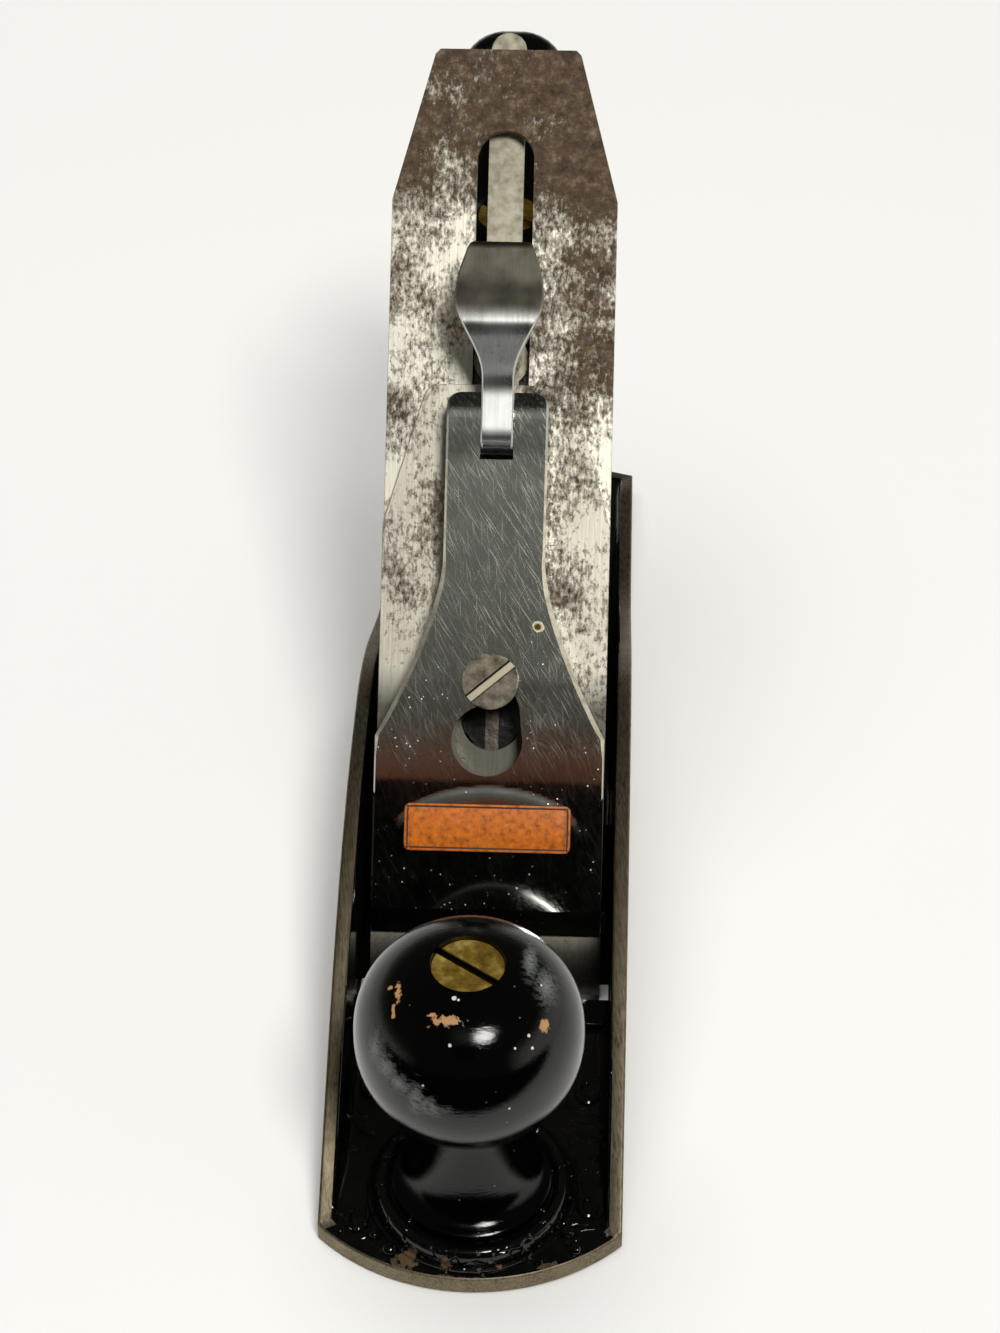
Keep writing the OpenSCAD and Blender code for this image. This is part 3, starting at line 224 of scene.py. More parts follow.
SEAT_FRONT, SEAT_REAR, SEAT_W, SEAT_H = 17, 48, 40, 13
KNOB_FROM_TOE, KNOB_SEAT_H, TOTE_SEAT_H, TOTE_PAD_W = 20.3, 6, 6.2, 18
TOTE_FROM_EDGE, TOTE_LEN = 88, 69
TOE_PIPS = ((17.4, -106.6, 1.5), (19.0, -110.2, 1.3), (-13.9, -111.4, 1.5), (-16.8, -108.4, 1.2))
TOE_CURLS = ((20.2, -73.5, 2.6), (-20.2, -73.5, 2.6), (-20.6, -104.6, 2.5), (20.8, -100.4, 2.0))
body_low, body_high = (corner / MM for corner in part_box("plane_bottom"))
half_body, cheek_h = body_high.x, body_high.z
edge_y = body_low.y + TOE_TO_EDGE
edge_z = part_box("cutter")[0].z / MM
knob_y = body_low.y + KNOB_FROM_TOE


def spread(start, end, count):
    """count + 1 even steps from start to end."""
    return [start + (end - start) * i / count for i in range(count + 1)]


def sole_outline(inset):
    """Points round the casting, drawn in by inset, with the same number on every ring."""
    wide, toe, heel = half_body - inset, TOE_R - inset, HEEL_R - inset
    toe_y, heel_y = body_low.y + TOE_R, body_high.y - HEEL_R
    toe_turn, heel_turn = math.asin(wide / toe), math.asin(wide / heel)
    front = [(toe * math.sin(a), toe_y - toe * math.cos(a)) for a in spread(-toe_turn, toe_turn, TOE_STEPS)]
    rear = [(heel * math.sin(a), heel_y + heel * math.cos(a))
            for a in spread(heel_turn, -heel_turn, HEEL_STEPS)]
    side = [(wide, y) for y in spread(front[-1][1], rear[0][1], SIDE_STEPS)][1:-1]
    return front + side + rear + [(-x, y) for x, y in reversed(side)]


def cheek_top(y):
    """Height of the cheek's top at y."""
    back = y - edge_y
    climb_end = CLIMB_START + CLIMB_LEN
    fall_start = climb_end + CHEEK_FLAT
    heel_start = body_high.y - HEEL_DROP
    if back < CLIMB_START:
        return SOLE_T
    if back < climb_end:
        return SOLE_T + (cheek_h - SOLE_T) * math.sin(math.pi / 2 * (back - CLIMB_START) / CLIMB_LEN)
    if back < fall_start:
        return cheek_h
    if back < fall_start + FALL_LEN:
        share = (back - fall_start) / FALL_LEN
        return RIM_H + (cheek_h - RIM_H) * (1 + math.cos(math.pi * share)) / 2
    if y < heel_start:
        return RIM_H
    return SOLE_T + (RIM_H - SOLE_T) * (1 + math.cos(math.pi * (y - heel_start) / HEEL_DROP)) / 2


def casting_rings():
    """Rings from the sole's edge up the outside, over the rim and down to the floor inside."""
    tops = [cheek_top(y) for x, y in sole_outline(0)]
    quarter = spread(0, math.pi / 2, ROUND_STEPS)
    rules = [lambda h: (CHAMFER, 0.0), lambda h: (0.0, CHAMFER)]
    rules += [lambda h, a=a: (RIM_ROUND * (1 - math.cos(a)), h - RIM_ROUND * (1 - math.sin(a)))
              for a in quarter]
    rules += [lambda h, a=a: (CHEEK_T - RIM_ROUND * (1 - math.sin(a)),
                              h - min(RIM_ROUND, (h - SOLE_T) / 2) * (1 - math.cos(a)))
              for a in quarter]
    rules += [lambda h, a=a: (CHEEK_T + FILLET * (1 - math.cos(a)),
                              SOLE_T + min(FILLET, (h - SOLE_T) / 2) * (1 - math.sin(a)))
              for a in quarter]
    rings = []
    for rule in rules:
        outlines = {}
        ring = []
        for i, top in enumerate(tops):
            inset, z = rule(top)
            if inset not in outlines:
                outlines[inset] = sole_outline(inset)
            ring.append((*outlines[inset][i], z))
        rings.append(ring)
    return rings


def band_faces(count, rings, closed=True):
    """Quads between neighbouring rings of count points each."""
    last = count if closed else count - 1
    return [(r * count + i, r * count + (i + 1) % count, (r + 1) * count + (i + 1) % count,
             (r + 1) * count + i) for r in range(rings - 1) for i in range(last)]


def lofted(name, rings, materials, angle=35, material_index=0):
    """A closed solid through rings of points, with a flat cap at each end."""
    count = len(rings[0])
    top = (len(rings) - 1) * count
    faces = band_faces(count, len(rings))
    faces += [tuple(reversed(range(count))), tuple(top + k for k in range(count))]
    piece = make_mesh(name, [p for ring in rings for p in ring], faces, materials, angle)
    for face in piece.data.polygons:
        face.material_index = material_index
    return piece


def turned(name, profile, centre, materials, steps=96, axis="Z", angle=35, material_index=0):
    """A solid turned on a lathe; profile is (radius, height) from one end to the other."""
    rings = []
    for radius, rise in profile:
        ring = []
        for k in range(steps):
            a = 2 * math.pi * k / steps
            p = Vector((radius * math.cos(a), radius * math.sin(a), rise))
            ring.append((Vector((p.x, p.z, -p.y)) if axis == "Y" else p) + Vector(centre))
        rings.append(ring)
    return lofted(name, rings, materials, angle, material_index)


def slab(name, outline, low, high, edge, materials, material_index=0):
    """A flat boss with a rounded top edge; outline(inset) gives its points from above."""
    steps = spread(0, math.pi / 2, ROUND_STEPS)
    rings = [[(x, y, low) for x, y in outline(0)]]
    rings += [[(x, y, high - edge * (1 - math.sin(a))) for x, y in outline(edge * (1 - math.cos(a)))]
              for a in steps]
    return lofted(name, rings, materials, material_index=material_index)


def oblong(x0, x1, y0, y1, corner):
    """A rounded oblong from above, as a function of how far it is drawn in."""
    def outline(inset):
        r = max(corner - inset, 0.05)
        middles = ((x1 - corner, y1 - corner, 0), (x0 + corner, y1 - corner, 90),
                   (x0 + corner, y0 + corner, 180), (x1 - corner, y0 + corner, 270))
        return [(cx + r * math.cos(math.radians(start + a)), cy + r * math.sin(math.radians(start + a)))
                for cx, cy, start in middles for a in spread(0, 90, 8)]
    return outline


def combine(piece, others, how):
    """Joins the other solids to a piece, or cuts them from it, and removes them."""
    for other in others:
        step = piece.modifiers.new(how.lower(), "BOOLEAN")
        step.object = other
        step.operation = how
        step.solver = "EXACT"
    bpy.context.view_layer.update()
    shown = piece.evaluated_get(bpy.context.evaluated_depsgraph_get())
    mesh = bpy.data.meshes.new_from_object(shown)
    piece.modifiers.clear()
    piece.data = mesh
    for other in others:
        bpy.data.objects.remove(other)
    mesh.set_sharp_from_angle(angle=math.radians(35))
    return piece


def tube(name, path, radius, materials, material_index=0):
    """A round cord of metal along a path of points, for raised lines on a casting."""
    rings = []
    for i, point in enumerate(path):
        along = (Vector(path[min(i + 1, len(path) - 1)]) - Vector(path[max(i - 1, 0)])).normalized()
        side = along.cross(Vector((0, 0, 1))).normalized()
        up = side.cross(along)
        thin = radius * max(math.sin(math.pi * (i + 0.6) / (len(path) + 0.2)), 0.15) ** 0.5
        rings.append([Vector(point) + thin * (math.cos(a) * side + math.sin(a) * up)
                      for a in spread(0, 2 * math.pi, 10)[:-1]])
    return lofted(name, rings, materials, material_index=material_index)


def mottled(name, size_mm, detail, raggedness, stops, bump=None, **finish):
    """A material whose colour runs through stops with a noise; bump is (strength, depth in mm)."""
    made, tree, surface, place = start_material(name, **finish)
    noise = add(tree, "TexNoise", {"Vector": place, "Scale": per(size_mm), "Detail": detail,
                                   "Roughness": raggedness})
    feed(surface, {"Base Color": add(tree, "ValToRGB", {"Fac": noise}, stops=stops)})
    if bump:
        strength, deep = bump
        feed(surface, {"Normal": add(tree, "Bump", {"Height": noise, "Strength": strength,
                                                    "Distance": deep * MM})})
    return made, tree, surface, noise


# Grey cast iron, ground bright and gone brown: grinding lines, drawn coarser than they are so
# that they show, with a warm, dull sheen.
ground_iron, tree, surface, place = start_material("ground_cast_iron", roughness=0.42, metallic=1.0)
along = add(tree, "Mapping", {"Vector": place, "Rotation": (0.25, 0, 0.12), "Scale": (1.0, 12.0, 1.0)},
            vector_type="TEXTURE")
lines = add(tree, "TexNoise", {"Vector": along, "Scale": per(0.4), "Detail": 4.0, "Roughness": 0.7})
stain = add(tree, "TexNoise", {"Vector": place, "Scale": per(9), "Detail": 9.0, "Roughness": 0.72})
tones = add(tree, "ValToRGB", {"Fac": stain}, stops=[(0.3, "#3f3628"), (0.75, "#8f846c")])
fine = add(tree, "MapRange", {"Value": lines, "From Min": 0.35, "From Max": 0.65})
worn = add(tree, "Mix", {0: fine, 6: tones, 7: "#968b74"}, data_type="RGBA")
rough = add(tree, "MapRange", {"Value": stain, "To Min": 0.66, "To Max": 0.4})
bump = add(tree, "Bump", {"Height": lines, "Strength": 0.3, "Distance": 0.06 * MM})
feed(surface, {"Base Color": worn, "Roughness": rough, "Normal": bump})

# Baked black japanning: thick, glossy and a little lumpy over the sand-cast skin, with brown
# iron where it has flaked round the toe.
japanning, tree, surface, place = start_material("black_japanning", roughness=0.16)
lumps = add(tree, "TexNoise", {"Vector": place, "Scale": per(4), "Detail": 3.0})
flake = add(tree, "TexNoise", {"Vector": place, "Scale": per(5.5), "Detail": 8.0, "Roughness": 0.62})
parts = add(tree, "SeparateXYZ", {"Vector": place}).node.outputs
near_toe = add(tree, "MapRange", {"Value": parts["Y"], "From Min": (body_low.y + 15) * MM,
                                  "From Max": (body_low.y + 3) * MM, "To Min": -0.16, "To Max": 0.12})
chance = add(tree, "Math", {0: flake, 1: near_toe}, operation="ADD")
flaked = add(tree, "MapRange", {"Value": chance, "From Min": 0.68, "From Max": 0.7})
black = add(tree, "Mix", {0: lumps, 6: "#040404", 7: "#0c0c0b"}, data_type="RGBA")
bare = add(tree, "Mix", {0: lumps, 6: "#2a2118", 7: "#6b553a"}, data_type="RGBA")
shown = add(tree, "Mix", {0: flaked, 6: black, 7: bare}, data_type="RGBA")
rough = add(tree, "MapRange", {"Value": flaked, "To Min": 0.11, "To Max": 0.75})
swirls = add(tree, "TexNoise", {"Vector": place, "Scale": per(9), "Detail": 1.5, "Distortion": 1.6})
ridge = add(tree, "MapRange", {"Value": swirls, "From Min": 0.44, "From Max": 0.52},
            interpolation_type="SMOOTHERSTEP")
front_part = add(tree, "MapRange", {"Value": parts["Y"], "From Min": (body_low.y + 50) * MM,
                                    "From Max": (body_low.y + 36) * MM, "To Max": 3.2})
curled = add(tree, "Math", {0: ridge, 1: front_part}, operation="MULTIPLY")
relief = add(tree, "Math", {0: lumps, 1: flaked}, operation="SUBTRACT")
relief = add(tree, "Math", {0: relief, 1: curled}, operation="ADD")
bump = add(tree, "Bump", {"Height": relief, "Strength": 0.5, "Distance": 0.25 * MM})
feed(surface, {"Base Color": shown, "Roughness": rough, "Normal": bump})

casting_stuff = [ground_iron, japanning]
casting = lofted("casting", casting_rings(), casting_stuff)
for face in casting.data.polygons:
    x, y, z = (c / MM for c in face.center)
    inward = half_body - abs(x)
    if y < body_low.y + TOE_R:
        inward = min(inward, TOE_R - math.hypot(x, y - body_low.y - TOE_R))
    if y > body_high.y - HEEL_R:
        inward = min(inward, HEEL_R - math.hypot(x, y - body_high.y + HEEL_R))
    high = cheek_top(y)
    on_rim = z > high - 0.35 and inward < CHEEK_T - 0.2 and high > SOLE_T + 0.2
    outside = inward < 0.8 and z < high - 0.05
    face.material_index = 0 if face.normal.z < -0.5 or outside or on_rim else 1
bosses = [
    slab("pad", oblong(-LEDGE_W / 2, LEDGE_W / 2, edge_y - MOUTH_GAP - PAD_LEN, edge_y + 2, 1),
         2, PAD_H, 0.7, casting_stuff, 1),
    slab("ledge", oblong(-LEDGE_W / 2, LEDGE_W / 2, edge_y, edge_y + SEAT_FRONT, 1),
         2, LEDGE_H, 0.5, casting_stuff, 1),
    slab("seat", oblong(-SEAT_W / 2, SEAT_W / 2, edge_y + SEAT_FRONT, edge_y + SEAT_REAR, 1.5),
         2, SEAT_H, 0.6, casting_stuff, 1),
    slab("handle_pad", oblong(-TOTE_PAD_W / 2, TOTE_PAD_W / 2, edge_y + TOTE_FROM_EDGE - 3,
                              edge_y + TOTE_FROM_EDGE + TOTE_LEN + 3, TOTE_PAD_W / 2 - 0.1),
         2, TOTE_SEAT_H, 0.8, casting_stuff, 1),
    turned("knob_ring", [(19.1, 2), (19.1, 4.1), (18.9, 4.5), (18.5, 4.7), (18.1, 4.5), (17.9, 4.4),
                         (17.8, 5.6), (17.4, 6.9), (16.8, 7.4), (16.2, 7.5), (15.5, 7.2), (15.0, 6.6),
                         (14.8, 6.0), (4, 6.0)], (0, knob_y, 0), casting_stuff, angle=50, material_index=1),
]
for x, y, radius in TOE_PIPS:
    dome = [(radius * math.cos(a), SOLE_T + 0.85 * radius * math.sin(a)) for a in spread(0, 1.4, 5)]
    bosses.append(turned("pip", [(radius, 2)] + dome, (x, y, 0), casting_stuff, 20, angle=60,
                         material_index=1))
for x, y, radius in TOE_CURLS:
    turn = 1 if x > 0 else -1
    path = [(x + turn * radius * (0.35 + 0.65 * t) * math.cos(turn * 5.2 * t + 1.2),
             y + 1.5 * radius * (0.35 + 0.65 * t) * math.sin(turn * 5.2 * t + 1.2), SOLE_T + 0.05)
            for t in spread(0, 1, 26)]
    bosses.append(tube("curl", path, 0.75, casting_stuff, 1))
combine(casting, bosses, "UNION")
high = LEDGE_H + 1
behind = MOUTH_BACK * math.sqrt(2)
mouth_side = [(edge_y - MOUTH_GAP, -1), (edge_y - MOUTH_GAP, MOUTH_RELIEF_H),
              (edge_y - MOUTH_GAP - MOUTH_RELIEF_RUN, high), (edge_y + high - edge_z + behind, high),
              (edge_y - 1 - edge_z + behind, -1)]
mouth = lofted("mouth", [[(x, y, z) for y, z in mouth_side] for x in (-MOUTH_W / 2, MOUTH_W / 2)],
               casting_stuff, material_index=1)
combine(casting, [mouth], "DIFFERENCE")
casting.data.name = "casting"
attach(casting, "body")
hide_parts("plane_bottom")


# Knob: turned from a hardwood block, lacquered gloss black by hand, and chipped to the wood by
# a century of palms. It stands in the ring on the sole and a long rod and brass nut hold it.
KNOB_R, KNOB_MID, KNOB_CROWN, KNOB_FULLNESS = 19.85, 40.1, 17.9, 2.4
FOOT_R, FOOT_RIM, FLARE_H, NECK_R = 14.4, 2.6, 16.4, 7.75
NUT_HEAD_R, NUT_HEAD_T, NUT_DROP = 6.2, 2.2, 1.4
# Each chip: its middle, its half sizes along X, Y and Z, and how ragged its edge is
KNOB_CHIPS = (
    ((-2.9, -108.5, 61.7), (2.3, 0.7, 1.0), 1.5), ((-5.6, -107.4, 61.7), (0.5, 0.35, 0.5), 1.2),
    ((-11.5, -102.1, 61.3), (0.45, 1.5, 1.2), 1.7), ((-12.1, -105.1, 59.9), (0.3, 1.1, 0.9), 1.2),
    ((-12.8, -100.6, 60.8), (0.5, 0.4, 0.4), 1.3), ((13.2, -106.1, 58.4), (0.95, 1.0, 1.3), 1.1))
# Painted glints: each small white spot's middle and radius, round the lamp's highlight
KNOB_PAINTED_GLINTS = (((-1.9, -104.8, 63.2), 0.46), ((-1.2, -105.1, 63.1), 0.24), ((-2.3, -111.9, 59.5), 0.3),
              ((11.2, -109.9, 57.1), 0.26), ((10.6, -108.7, 58.8), 0.3), ((7.6, -115.5, 48.2), 0.2),
              ((8.4, -111.0, 58.2), 0.22), ((12.4, -99.6, 61.2), 0.2), ((-6.7, -115.0, 52.8), 0.2))
KNOB_SCUFFS = (((10.4, -95.2, 62.2), (0.9, 3.0, 2.0), 1.5), ((13.2, -99.3, 60.7), (1.3, 2.4, 1.9), 1.9),
               ((-15.2, -108.2, 53.7), (0.9, 1.8, 2.2), 2.0), ((-13.3, -110.9, 52.4), (1.8, 1.8, 1.6), 2.0),
               ((-10.9, -113.3, 51.1), (2.0, 1.3, 1.2), 2.2), ((-8.0, -115.2, 49.5), (1.1, 1.2, 2.4), 2.2),
               ((-5.8, -116.1, 48.7), (2.2, 1.0, 1.3), 2.4))

# Black lacquer on beech: a deep gloss with faint brush marks, tan wood in the chips and grey
# haze where it has been rubbed, with small white spots painted as glints round the highlight.
lacquer, tree, surface, place = start_material("black_lacquer_on_beech", roughness=0.12)
feed(surface, {"IOR": 1.42})
ragged = add(tree, "TexNoise", {"Vector": place, "Scale": per(1.1), "Detail": 8.0, "Roughness": 0.7})
streaks = add(tree, "Mapping", {"Vector": place, "Rotation": (0.5, 0.3, 0.6), "Scale": (1, 5, 5)})
rubbed = add(tree, "TexNoise", {"Vector": streaks, "Scale": per(4), "Detail": 7.0, "Roughness": 0.7})


def patches(tree, place, noise, marks, soft):
    """A mask that is 1 inside the given ragged patches."""
    mask = None
    for middle, half, rag in marks:
        local = add(tree, "Mapping", {"Vector": place, "Location": [c * MM for c in middle],
                                      "Scale": [h * MM for h in half]}, vector_type="TEXTURE")
        far = add(tree, "VectorMath", {0: local}, operation="LENGTH")
        torn = add(tree, "Math", {0: noise, 1: 4 * rag, 2: -2 * rag}, operation="MULTIPLY_ADD")
        near = add(tree, "Math", {0: far, 1: torn}, operation="ADD")
        patch = add(tree, "MapRange", {"Value": near, "From Min": 1.0 + soft, "From Max": 1.0 - soft})
        mask = patch if mask is None else add(tree, "Math", {0: mask, 1: patch}, operation="MAXIMUM")
    return mask


chipped = patches(tree, place, ragged, KNOB_CHIPS, 0.06)
painted_glints = patches(tree, place, ragged, [(p, (r, r, r), 0.4) for p, r in KNOB_PAINTED_GLINTS], 0.15)
hazy = patches(tree, place, rubbed, KNOB_SCUFFS, 0.8)
thin = add(tree, "MapRange", {"Value": rubbed, "From Min": 0.38, "From Max": 0.72, "To Min": 0.06,
                              "To Max": 1.0})
haze = add(tree, "Math", {0: hazy, 1: thin}, operation="MULTIPLY")
grime = add(tree, "TexVoronoi", {"Vector": place, "Scale": per(3.4), "Randomness": 1.0})
speck = add(tree, "MapRange", {"Value": grime, "From Min": 0.055, "From Max": 0.035, "To Max": 0.5})
wood = add(tree, "Mix", {0: ragged, 6: "#8f6236", 7: "#cda273"}, data_type="RGBA")
tone = add(tree, "Mix", {0: haze, 6: "#030303", 7: "#a2a8a3"}, data_type="RGBA")
tone = add(tree, "Mix", {0: speck, 6: tone, 7: "#8c8a84"}, data_type="RGBA")
tone = add(tree, "Mix", {0: chipped, 6: tone, 7: wood}, data_type="RGBA")
# The painted glints: small white spots that stand in for the highlight's speckled halo
tone = add(tree, "Mix", {0: painted_glints, 6: tone, 7: "#d8d2c6"}, data_type="RGBA")
dull = add(tree, "Math", {0: chipped, 1: hazy}, operation="MAXIMUM")
rough = add(tree, "MapRange", {"Value": dull, "To Min": 0.075, "To Max": 0.6})
brush = add(tree, "TexNoise", {"Vector": streaks, "Scale": per(2.4), "Detail": 6.0, "Roughness": 0.6})
sunk = add(tree, "Math", {0: brush, 1: chipped}, operation="SUBTRACT")
bump = add(tree, "Bump", {"Height": sunk, "Strength": 0.2, "Distance": 0.16 * MM})
feed(surface, {"Base Color": tone, "Roughness": rough, "Normal": bump})

dip = math.acos(NECK_R / KNOB_R)
top = KNOB_MID + KNOB_CROWN
lip = math.asin((NUT_HEAD_R / KNOB_R) ** (KNOB_FULLNESS / 2)) + 0.01
profile = [(FOOT_R - 0.5, 0), (FOOT_R - 0.1, 0.2), (FOOT_R, 0.6), (FOOT_R, FOOT_RIM - 0.3)]
profile += [(FOOT_R - (FOOT_R - NECK_R) * math.sin(a), FOOT_RIM + FLARE_H * (1 - math.cos(a)))
            for a in spread(0.06, math.pi / 2, 22)]
profile += [(KNOB_R * math.cos(a), KNOB_MID + KNOB_R * math.sin(a)) for a in spread(-dip, 0, 26)[1:]]
bend = 2 / KNOB_FULLNESS
profile += [(KNOB_R * math.cos(a) ** bend, KNOB_MID + KNOB_CROWN * math.sin(a) ** bend)
            for a in spread(0, math.pi / 2 - lip, 40)[1:]]
profile += [(NUT_HEAD_R + 0.1, top - 1.1), (NUT_HEAD_R + 0.05, top - NUT_DROP - NUT_HEAD_T)]
knob = turned("turned_knob", profile, (0, knob_y, KNOB_SEAT_H), [lacquer], steps=160, angle=40)
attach(knob, "body")
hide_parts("knob")


# Brass nuts: turned and slotted brass, screwed down on the steel rods of the knob and the
# handle. The brass has gone olive brown.
def dress(name, material, round_mm, parts=2):
    """Gives a carried-over part its finish, and takes the sharpness off its edges."""
    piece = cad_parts[name]
    piece.data.materials.clear()
    piece.data.materials.append(material)
    weld = piece.modifiers.new("weld", "WELD")
    weld.merge_threshold = 0.001 * MM
    ease = piece.modifiers.new("eased_edges", "BEVEL")
    ease.width = round_mm * MM
    ease.segments = parts
    ease.limit_method = "ANGLE"
    ease.angle_limit = math.radians(32)
    even = piece.modifiers.new("even_shading", "WEIGHTED_NORMAL")
    even.keep_sharp = False
    return piece


SLOT_FLOOR_Z, SLOT_SHADE_Z = 61.0, 62.25
brass, tree, surface, place = start_material("tarnished_brass", roughness=0.34, metallic=0.7)
tarnish = add(tree, "TexNoise", {"Vector": place, "Scale": per(3.2), "Detail": 9.0, "Roughness": 0.68})
facets = add(tree, "TexNoise", {"Vector": place, "Scale": per(3.0), "Detail": 1.0})
tones = add(tree, "ValToRGB", {"Fac": tarnish}, stops=[(0.3, "#55401a"), (0.72, "#f0d878"),
                                                       (0.5, "#a38434")])
parts = add(tree, "SeparateXYZ", {"Vector": place}).node.outputs
# Painted shade with dirt: brass between the slot's floor and just below the top goes dark brown
below = add(tree, "Math", {0: parts["Z"], 1: SLOT_SHADE_Z * MM}, operation="LESS_THAN")
above = add(tree, "Math", {0: parts["Z"], 1: SLOT_FLOOR_Z * MM}, operation="GREATER_THAN")
slot_shade_and_dirt = add(tree, "Math", {0: below, 1: above}, operation="MULTIPLY")
tone = add(tree, "Mix", {0: slot_shade_and_dirt, 6: tones, 7: "#1d1407"}, data_type="RGBA")
rough = add(tree, "MapRange", {"Value": tarnish, "To Min": 0.6, "To Max": 0.2})
dents = add(tree, "Math", {0: facets, 1: 3.0, 2: tarnish}, operation="MULTIPLY_ADD")
bump = add(tree, "Bump", {"Height": dents, "Strength": 0.5, "Distance": 0.14 * MM})
feed(surface, {"Base Color": tone, "Roughness": rough, "Normal": bump})
dress("knob_nut", brass, 0.3)
dress("tote_nut", brass, 0.3)


# Small steel: the rods, screws, washers, pins and rivets, turned and stamped from mild steel.
# Handled steel goes a warm grey, mottled with brown.
dull_steel, tree, surface, age = mottled(
    "dulled_mild_steel", 3.5, 7, 0.62, [(0.32, "#4c4234"), (0.62, "#aaa391")], bump=(0.25, 0.08), metallic=1)
feed(surface, {"Roughness": add(tree, "MapRange", {"Value": age, "To Min": 0.6, "To Max": 0.3})})
for name, ease in (("knob_rod", 0.3), ("tote_rod", 0.3), ("frog_screws", 0.35), ("frog_washers", 0.2),
                   ("frog_clip", 0.3), ("frog_clip_screw", 0.25), ("frog_adjusting_screw", 0.35),
                   ("yoke_pin", 0.2), ("lateral_rivet", 0.3), ("cap_iron_screw", 0.35),
                   ("cam_pin", 0.15), ("spring_rivet", 0.2)):
    dress(name, dull_steel, ease)


# Handle: sawn from a plank of hardwood to a horned grip, rounded over with a rasp and lacquered
# black. Its rod leans forward through the grip and pulls it down on the pad.
TOTE_T, TOTE_H, TOTE_ROUND, TOTE_FADE = 22, 116, 9.2, 22
TOTE_ROD_IN, TOTE_ROD_FOOT, TOTE_LEAN, TOTE_NUT_SHARE, TOTE_NUT_DROP = 49.6, 1.5, 5.3, 0.775, 0.9
TOTE_SHAPE = (
    (0.000, 0.000), (-0.007, 0.059), (0.123, 0.131), (0.265, 0.220), (0.336, 0.362),
    (0.362, 0.500), (0.396, 0.634), (0.470, 0.750), (0.594, 0.776), (0.703, 0.790),
    (0.830, 0.897), (0.950, 0.975), (1.036, 0.980), (1.092, 0.938), (1.080, 0.884),
    (1.020, 0.846), (0.940, 0.800), (0.859, 0.728), (0.822, 0.642), (0.800, 0.560),
    (0.786, 0.470), (0.791, 0.392), (0.812, 0.336), (0.870, 0.216), (0.949, 0.125),
    (1.004, 0.060), (1.000, 0.000))
TOTE_CHIPS = (((-9.8, 96.0, 100.0), (1.6, 3.4, 2.0), 0.9), ((10.4, 62.0, 62.0), (1.0, 2.0, 4.6), 1.1),
              ((-10.6, 74.0, 40.0), (0.9, 3.0, 2.0), 1.0), ((2.0, 114.5, 113.0), (5.0, 1.6, 3.0), 0.9),
              ((9.0, 48.0, 14.0), (2.0, 3.2, 1.2), 1.0), ((-9.5, 108.0, 12.0), (2.0, 3.0, 1.4), 1.0))


def smooth_curve(shape, steps):
    """Points of a smooth open curve through the given points."""
    made = []
    for i in range(len(shape) - 1):
        a, b, c, d = (Vector(shape[min(max(k, 0), len(shape) - 1)]) for k in range(i - 1, i + 3))
        for k in range(steps):
            t = k / steps
            made.append(0.5 * (2 * b + (c - a) * t + (2 * a - 5 * b + 4 * c - d) * t * t
                               + (3 * b - a - 3 * c + d) * t ** 3))
    return made + [Vector(shape[-1])]


def far_from(point, path):
    """Distance of a point from a path of straight pieces."""
    best = 1e9
    for a, b in zip(path, path[1:]):
        nearest, share = intersect_point_line(point, a, b)
        share = min(max(share, 0), 1)
        best = min(best, (point.to_2d() - a.lerp(b, share)).length)
    return best


tote_front = edge_y + TOTE_FROM_EDGE
outline = [Vector((tote_front + p.x * TOTE_LEN, TOTE_SEAT_H + p.y * TOTE_H))
           for p in smooth_curve(TOTE_SHAPE, 6)]
count = len(outline)
flat_points = [p.copy() for p in outline]
for deep, step in ((0.25, 1), (0.8, 1), (1.7, 1), (2.9, 2), (4.5, 2), (6.5, 3)):
    for i in range(0, count, step):
        before, after = outline[max(i - 1, 0)], outline[min(i + 1, count - 1)]
        run = (after - before).normalized()
        drawn = outline[i] + deep * Vector((run.y, -run.x))
        if drawn.y > TOTE_SEAT_H + 0.6 and far_from(drawn, outline) > 0.93 * deep:
            flat_points.append(drawn)
for y in spread(tote_front, tote_front + 1.1 * TOTE_LEN, 34):
    for z in spread(TOTE_SEAT_H + 2, TOTE_SEAT_H + TOTE_H, 50):
        flat_points.append(Vector((y, z)))
ring = list(range(count))
flat, edges, triangles, *rest = delaunay_2d_cdt(flat_points, [], [ring], 1, 0.05)
flat = [Vector(p) for p in flat]
points, faces = [], []
for side in (1, -1):
    for p in flat:
        soft = TOTE_ROUND * min(1, max(0.12, (p.y - TOTE_SEAT_H) / TOTE_FADE))
        deep = min(far_from(p, outline), soft)
        half = TOTE_T / 2 - soft + math.sqrt(max(soft ** 2 - (soft - deep) ** 2, 0))
        points.append((side * half, p.x, p.y))
faces = [tuple(t) for t in triangles] + [tuple(len(flat) + k for k in reversed(t)) for t in triangles]
where = {}
for t in triangles:
    for a, b in zip(t, t[1:] + t[:1]):
        where[(a, b)] = where.get((a, b), 0) + 1
rim_edges = [(a, b) for a, b in where if (b, a) not in where]
faces += [(b, a, len(flat) + a, len(flat) + b) for a, b in rim_edges]
lean = Euler((math.radians(TOTE_LEAN), 0, 0)).to_matrix()
rod_foot = Vector((0, tote_front + TOTE_ROD_IN, TOTE_ROD_FOOT))
rod_rise = TOTE_SEAT_H + TOTE_NUT_SHARE * TOTE_H - TOTE_ROD_FOOT
rod_top = rod_rise / math.cos(math.radians(TOTE_LEAN)) - TOTE_NUT_DROP

